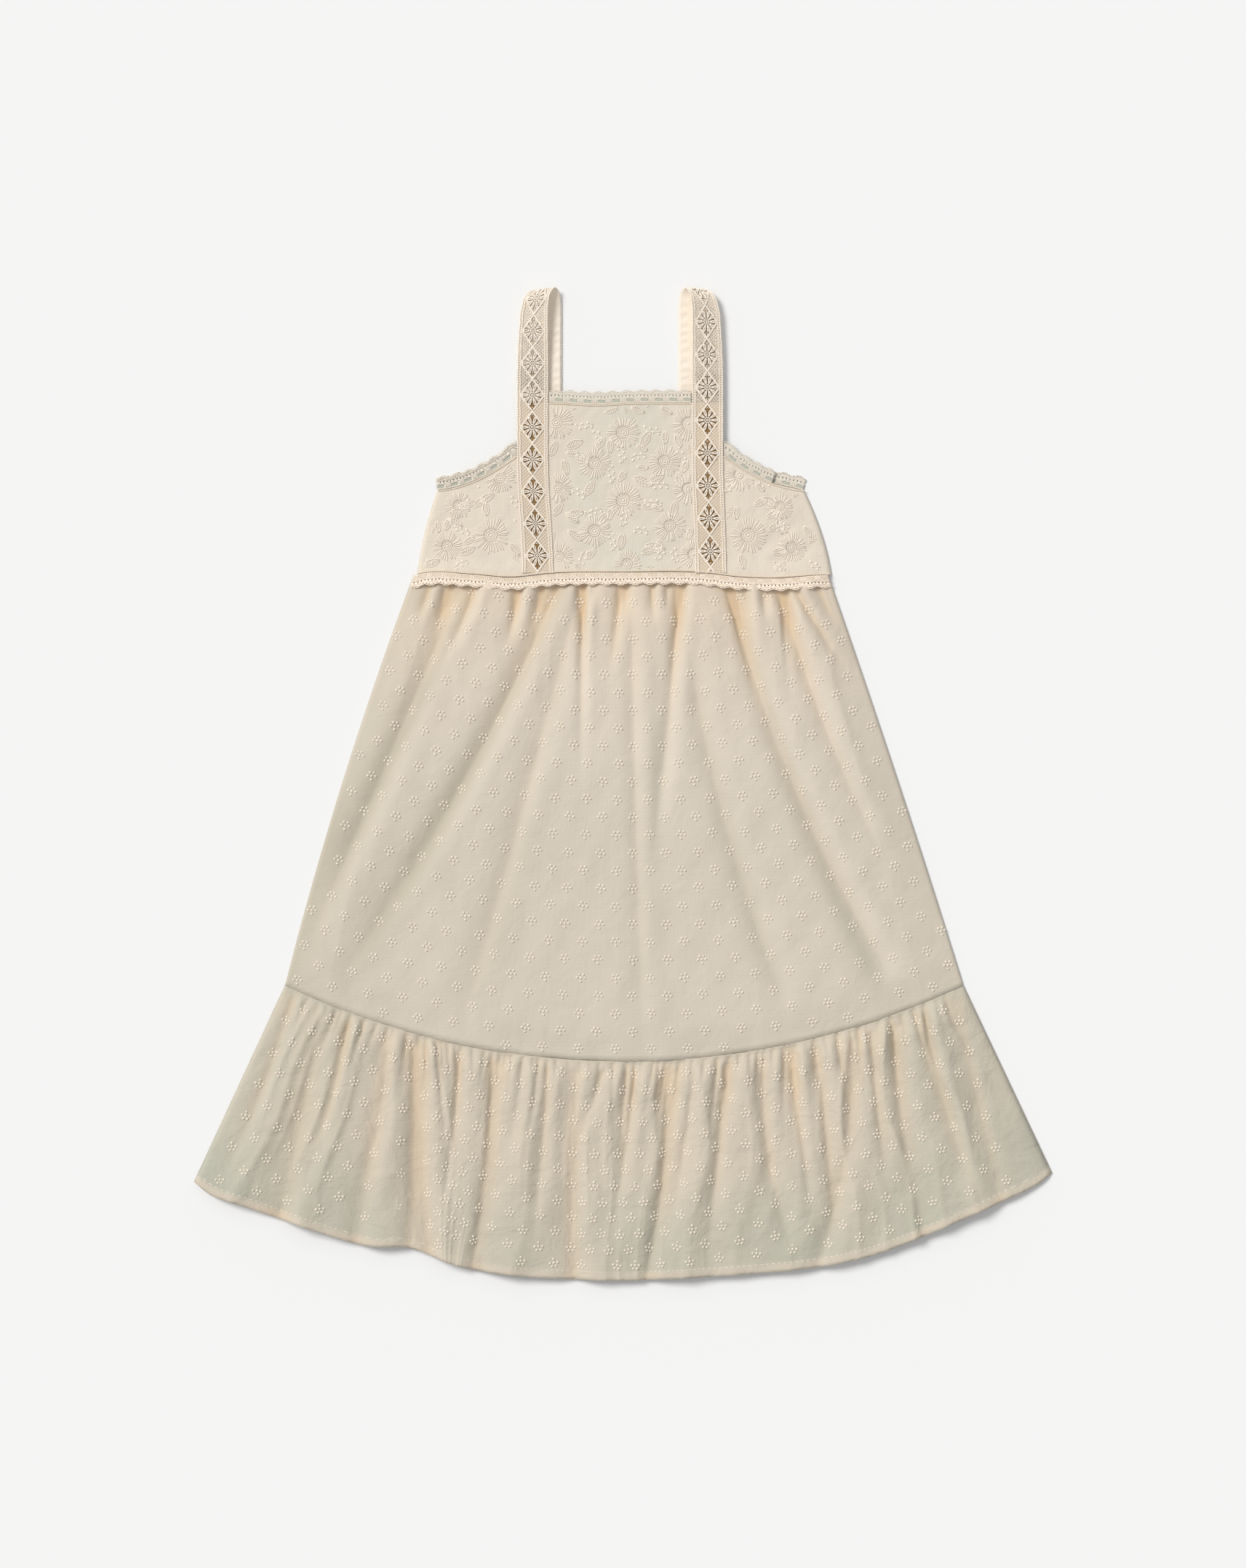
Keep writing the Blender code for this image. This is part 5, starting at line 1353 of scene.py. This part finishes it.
def edging(name, length, place, yarn, gap_painted_shade):
    """Crochet lace on place(a, b), the point at a along its foot and b out from it."""
    repeats = max(1, round(length / EDGING_PITCH))
    pitch = length / repeats

    def scalloped(a):
        return 1 - SCALLOP_DEPTH * np.abs(np.cos(np.pi * a / pitch)) ** 2

    a, b = np.meshgrid(np.linspace(0, length, repeats * EDGING_CELLS + 1), EDGING_ROWS, indexing="ij")
    outer = np.clip((b - BODY_START) / (EDGING_ROWS[-1] - BODY_START), 0, 1)
    points = place(a, b * mix(1.0, scalloped(a), outer)) + np.array([0, 0, 0.45])
    cell = np.arange(repeats * EDGING_CELLS)[:, None]
    row = np.arange(len(EDGING_ROWS) - 1)
    long_gap = (cell % EDGING_CELLS >= EDGING_CELLS * LUMP_SHARE) & (row >= 1) & (row <= 2)
    small_hole = (cell % 3 == 2) & (row == 5)
    faces = grid_faces(*a.shape, ~(long_gap | small_hole))
    ground, _ = new_piece(f"{name}_ground", [(points, [faces])], yarn, [name])
    thicken(ground, "lace_thickness", LACE_SHEET_THICK)
    a = np.linspace(0.2, length - 0.2, int(length / 0.95))
    scallop = scalloped(a)
    rows = [  # distance out, radius and lift of each thread
        (0.35 + 0.15 * np.sin(2.6 * a), 0.42, 0.75),
        (0.95 + 0.15 * np.sin(2.6 * a + 3), 0.32, 0.65),
        (3.8 + 0.25 * np.sin(2 * np.pi * a / pitch * 2), 0.42, 0.75),
        (4.7 + 0.35 * np.sin(2 * np.pi * a / pitch * 3), 0.38, 0.75),
        (6.95 + 0.40 * np.sin(2 * np.pi * a / pitch * 3 + 1), 0.36, 0.75),
        (7.5 - 0.40 * np.sin(2 * np.pi * a / pitch * 3 + 1), 0.36, 0.75),
        (9.1 * scallop + 0.25 * np.sin(2.3 * a), 0.48, 0.75),
        (9.9 * scallop + 0.55 * np.abs(np.sin(np.pi * a / pitch * 4)), 0.40, 0.65),
    ]
    parts = [strands((place(a, b) + np.array([0, 0, lift]))[None], radius) for b, radius, lift in rows]
    lump = (np.arange(repeats)[:, None] + LUMP_SHARE * np.linspace(0.12, 0.88, 5)) * pitch
    lump = lump.ravel()[:, None] + np.linspace(-0.2, 0.2, 4)
    rungs = place(lump, np.broadcast_to(np.linspace(0.8, 3.8, 4), lump.shape)) + np.array([0, 0, 0.75])
    parts.append(strands(rungs, 0.45))
    cords, _ = new_piece(f"{name}_cords", parts, yarn)
    # The long gaps hold a sheet painted as the shade below them.
    parts = [(points, [grid_faces(*points.shape[:2], long_gap)])]
    net, _ = new_piece(f"{name}_net", parts, gap_painted_shade)
    thicken(net, "net_thickness", GROUND_THICK)


middle = bodice_middle(NECK_Y)
reach = band_outer_edge(NECK_Y) - BAND_WIDTH - 0.4
x = np.linspace(middle - reach, middle + reach, 40)
length, neck_line = along_curve(np.stack([x, neck_y(x) + 0.3], axis=1))


def on_neck(a, b):
    """The neck's strip stands up from the neckline."""
    x, y, nx, ny = neck_line(a)
    z = FRONT_REST + bodice_rise(x, neck_y(x)) + 0.1
    return np.stack([x + nx * b, y + ny * b, z + 0 * b], axis=-1)


edging("lace_neck", length, on_neck, edging_thread_painted_shade, painted_table_shade_net)

for name, side, out in (("left", -1, ARM_CORNER_X), ("right", 1, 121.0)):
    away = np.linspace(band_outer_edge(ARM_TOP_Y) + 0.3, out, 40)
    line = np.stack([side * away + bodice_middle(ARM_MIDDLE_Y), armhole_y(away) + 0.4], axis=1)
    length, arm_line = along_curve(line)

    def on_armhole(a, b, arm_line=arm_line, side=side):
        """Beside the strap the strip fans out, so that it fills the corner."""
        x, y, nx, ny = arm_line(a)
        fanned = 1 - ease(a / 15.0)
        nx, ny = side * nx * (1 - fanned), mix(side * ny, 1.32, fanned)
        z = FRONT_REST + bodice_rise(x, armhole_y(np.abs(x - bodice_middle(ARM_MIDDLE_Y))))
        return np.stack([x + nx * b, y + ny * b, z + 0 * b], axis=-1)

    edging(f"lace_armhole_{name}", length, on_armhole, edging_thread_painted_shade, painted_table_shade_net)

x = np.linspace(-ARM_CORNER_X + 0.5, ARM_CORNER_X - 0.5, 81)
line = np.stack([x + bodice_middle(BACK_CORNER_Y), back_top_y(np.abs(x)) + 0.3], axis=1)
length, back_line = along_curve(line)


def on_back(a, b):
    """The back's strip stands up from its upper edge, flat on the table."""
    x, y, nx, ny = back_line(a)
    return np.stack([x + nx * b, y + ny * b, 0 * a], axis=-1)


edging("lace_back", length, on_back, edging_thread_painted_shade, painted_table_shade_net)


def on_waist(a, b):
    """The waist's strip hangs from the bodice over the skirt's gathers, a little wider at its scallops."""
    u = a / (WAIST_RIGHT - WAIST_LEFT)
    x = mix(WAIST_LEFT, WAIST_RIGHT, u) + (2 * u - 1) * 0.29 * b
    fade = np.clip(np.minimum(x - WAIST_LEFT, WAIST_RIGHT - x) / 15.0 + 0.1, 0, 1)
    rise = 0.95 + 0.30 * b + 0.6 * np.clip(b / 3.2, 0, 1)
    return np.stack([x, waist_y(x) - 0.4 - b, FRONT_REST + fade * rise + WALL + 0.45], axis=-1)


edging("lace_waist", WAIST_RIGHT - WAIST_LEFT, on_waist, waist_thread_painted_light, painted_cloth_shade_net)
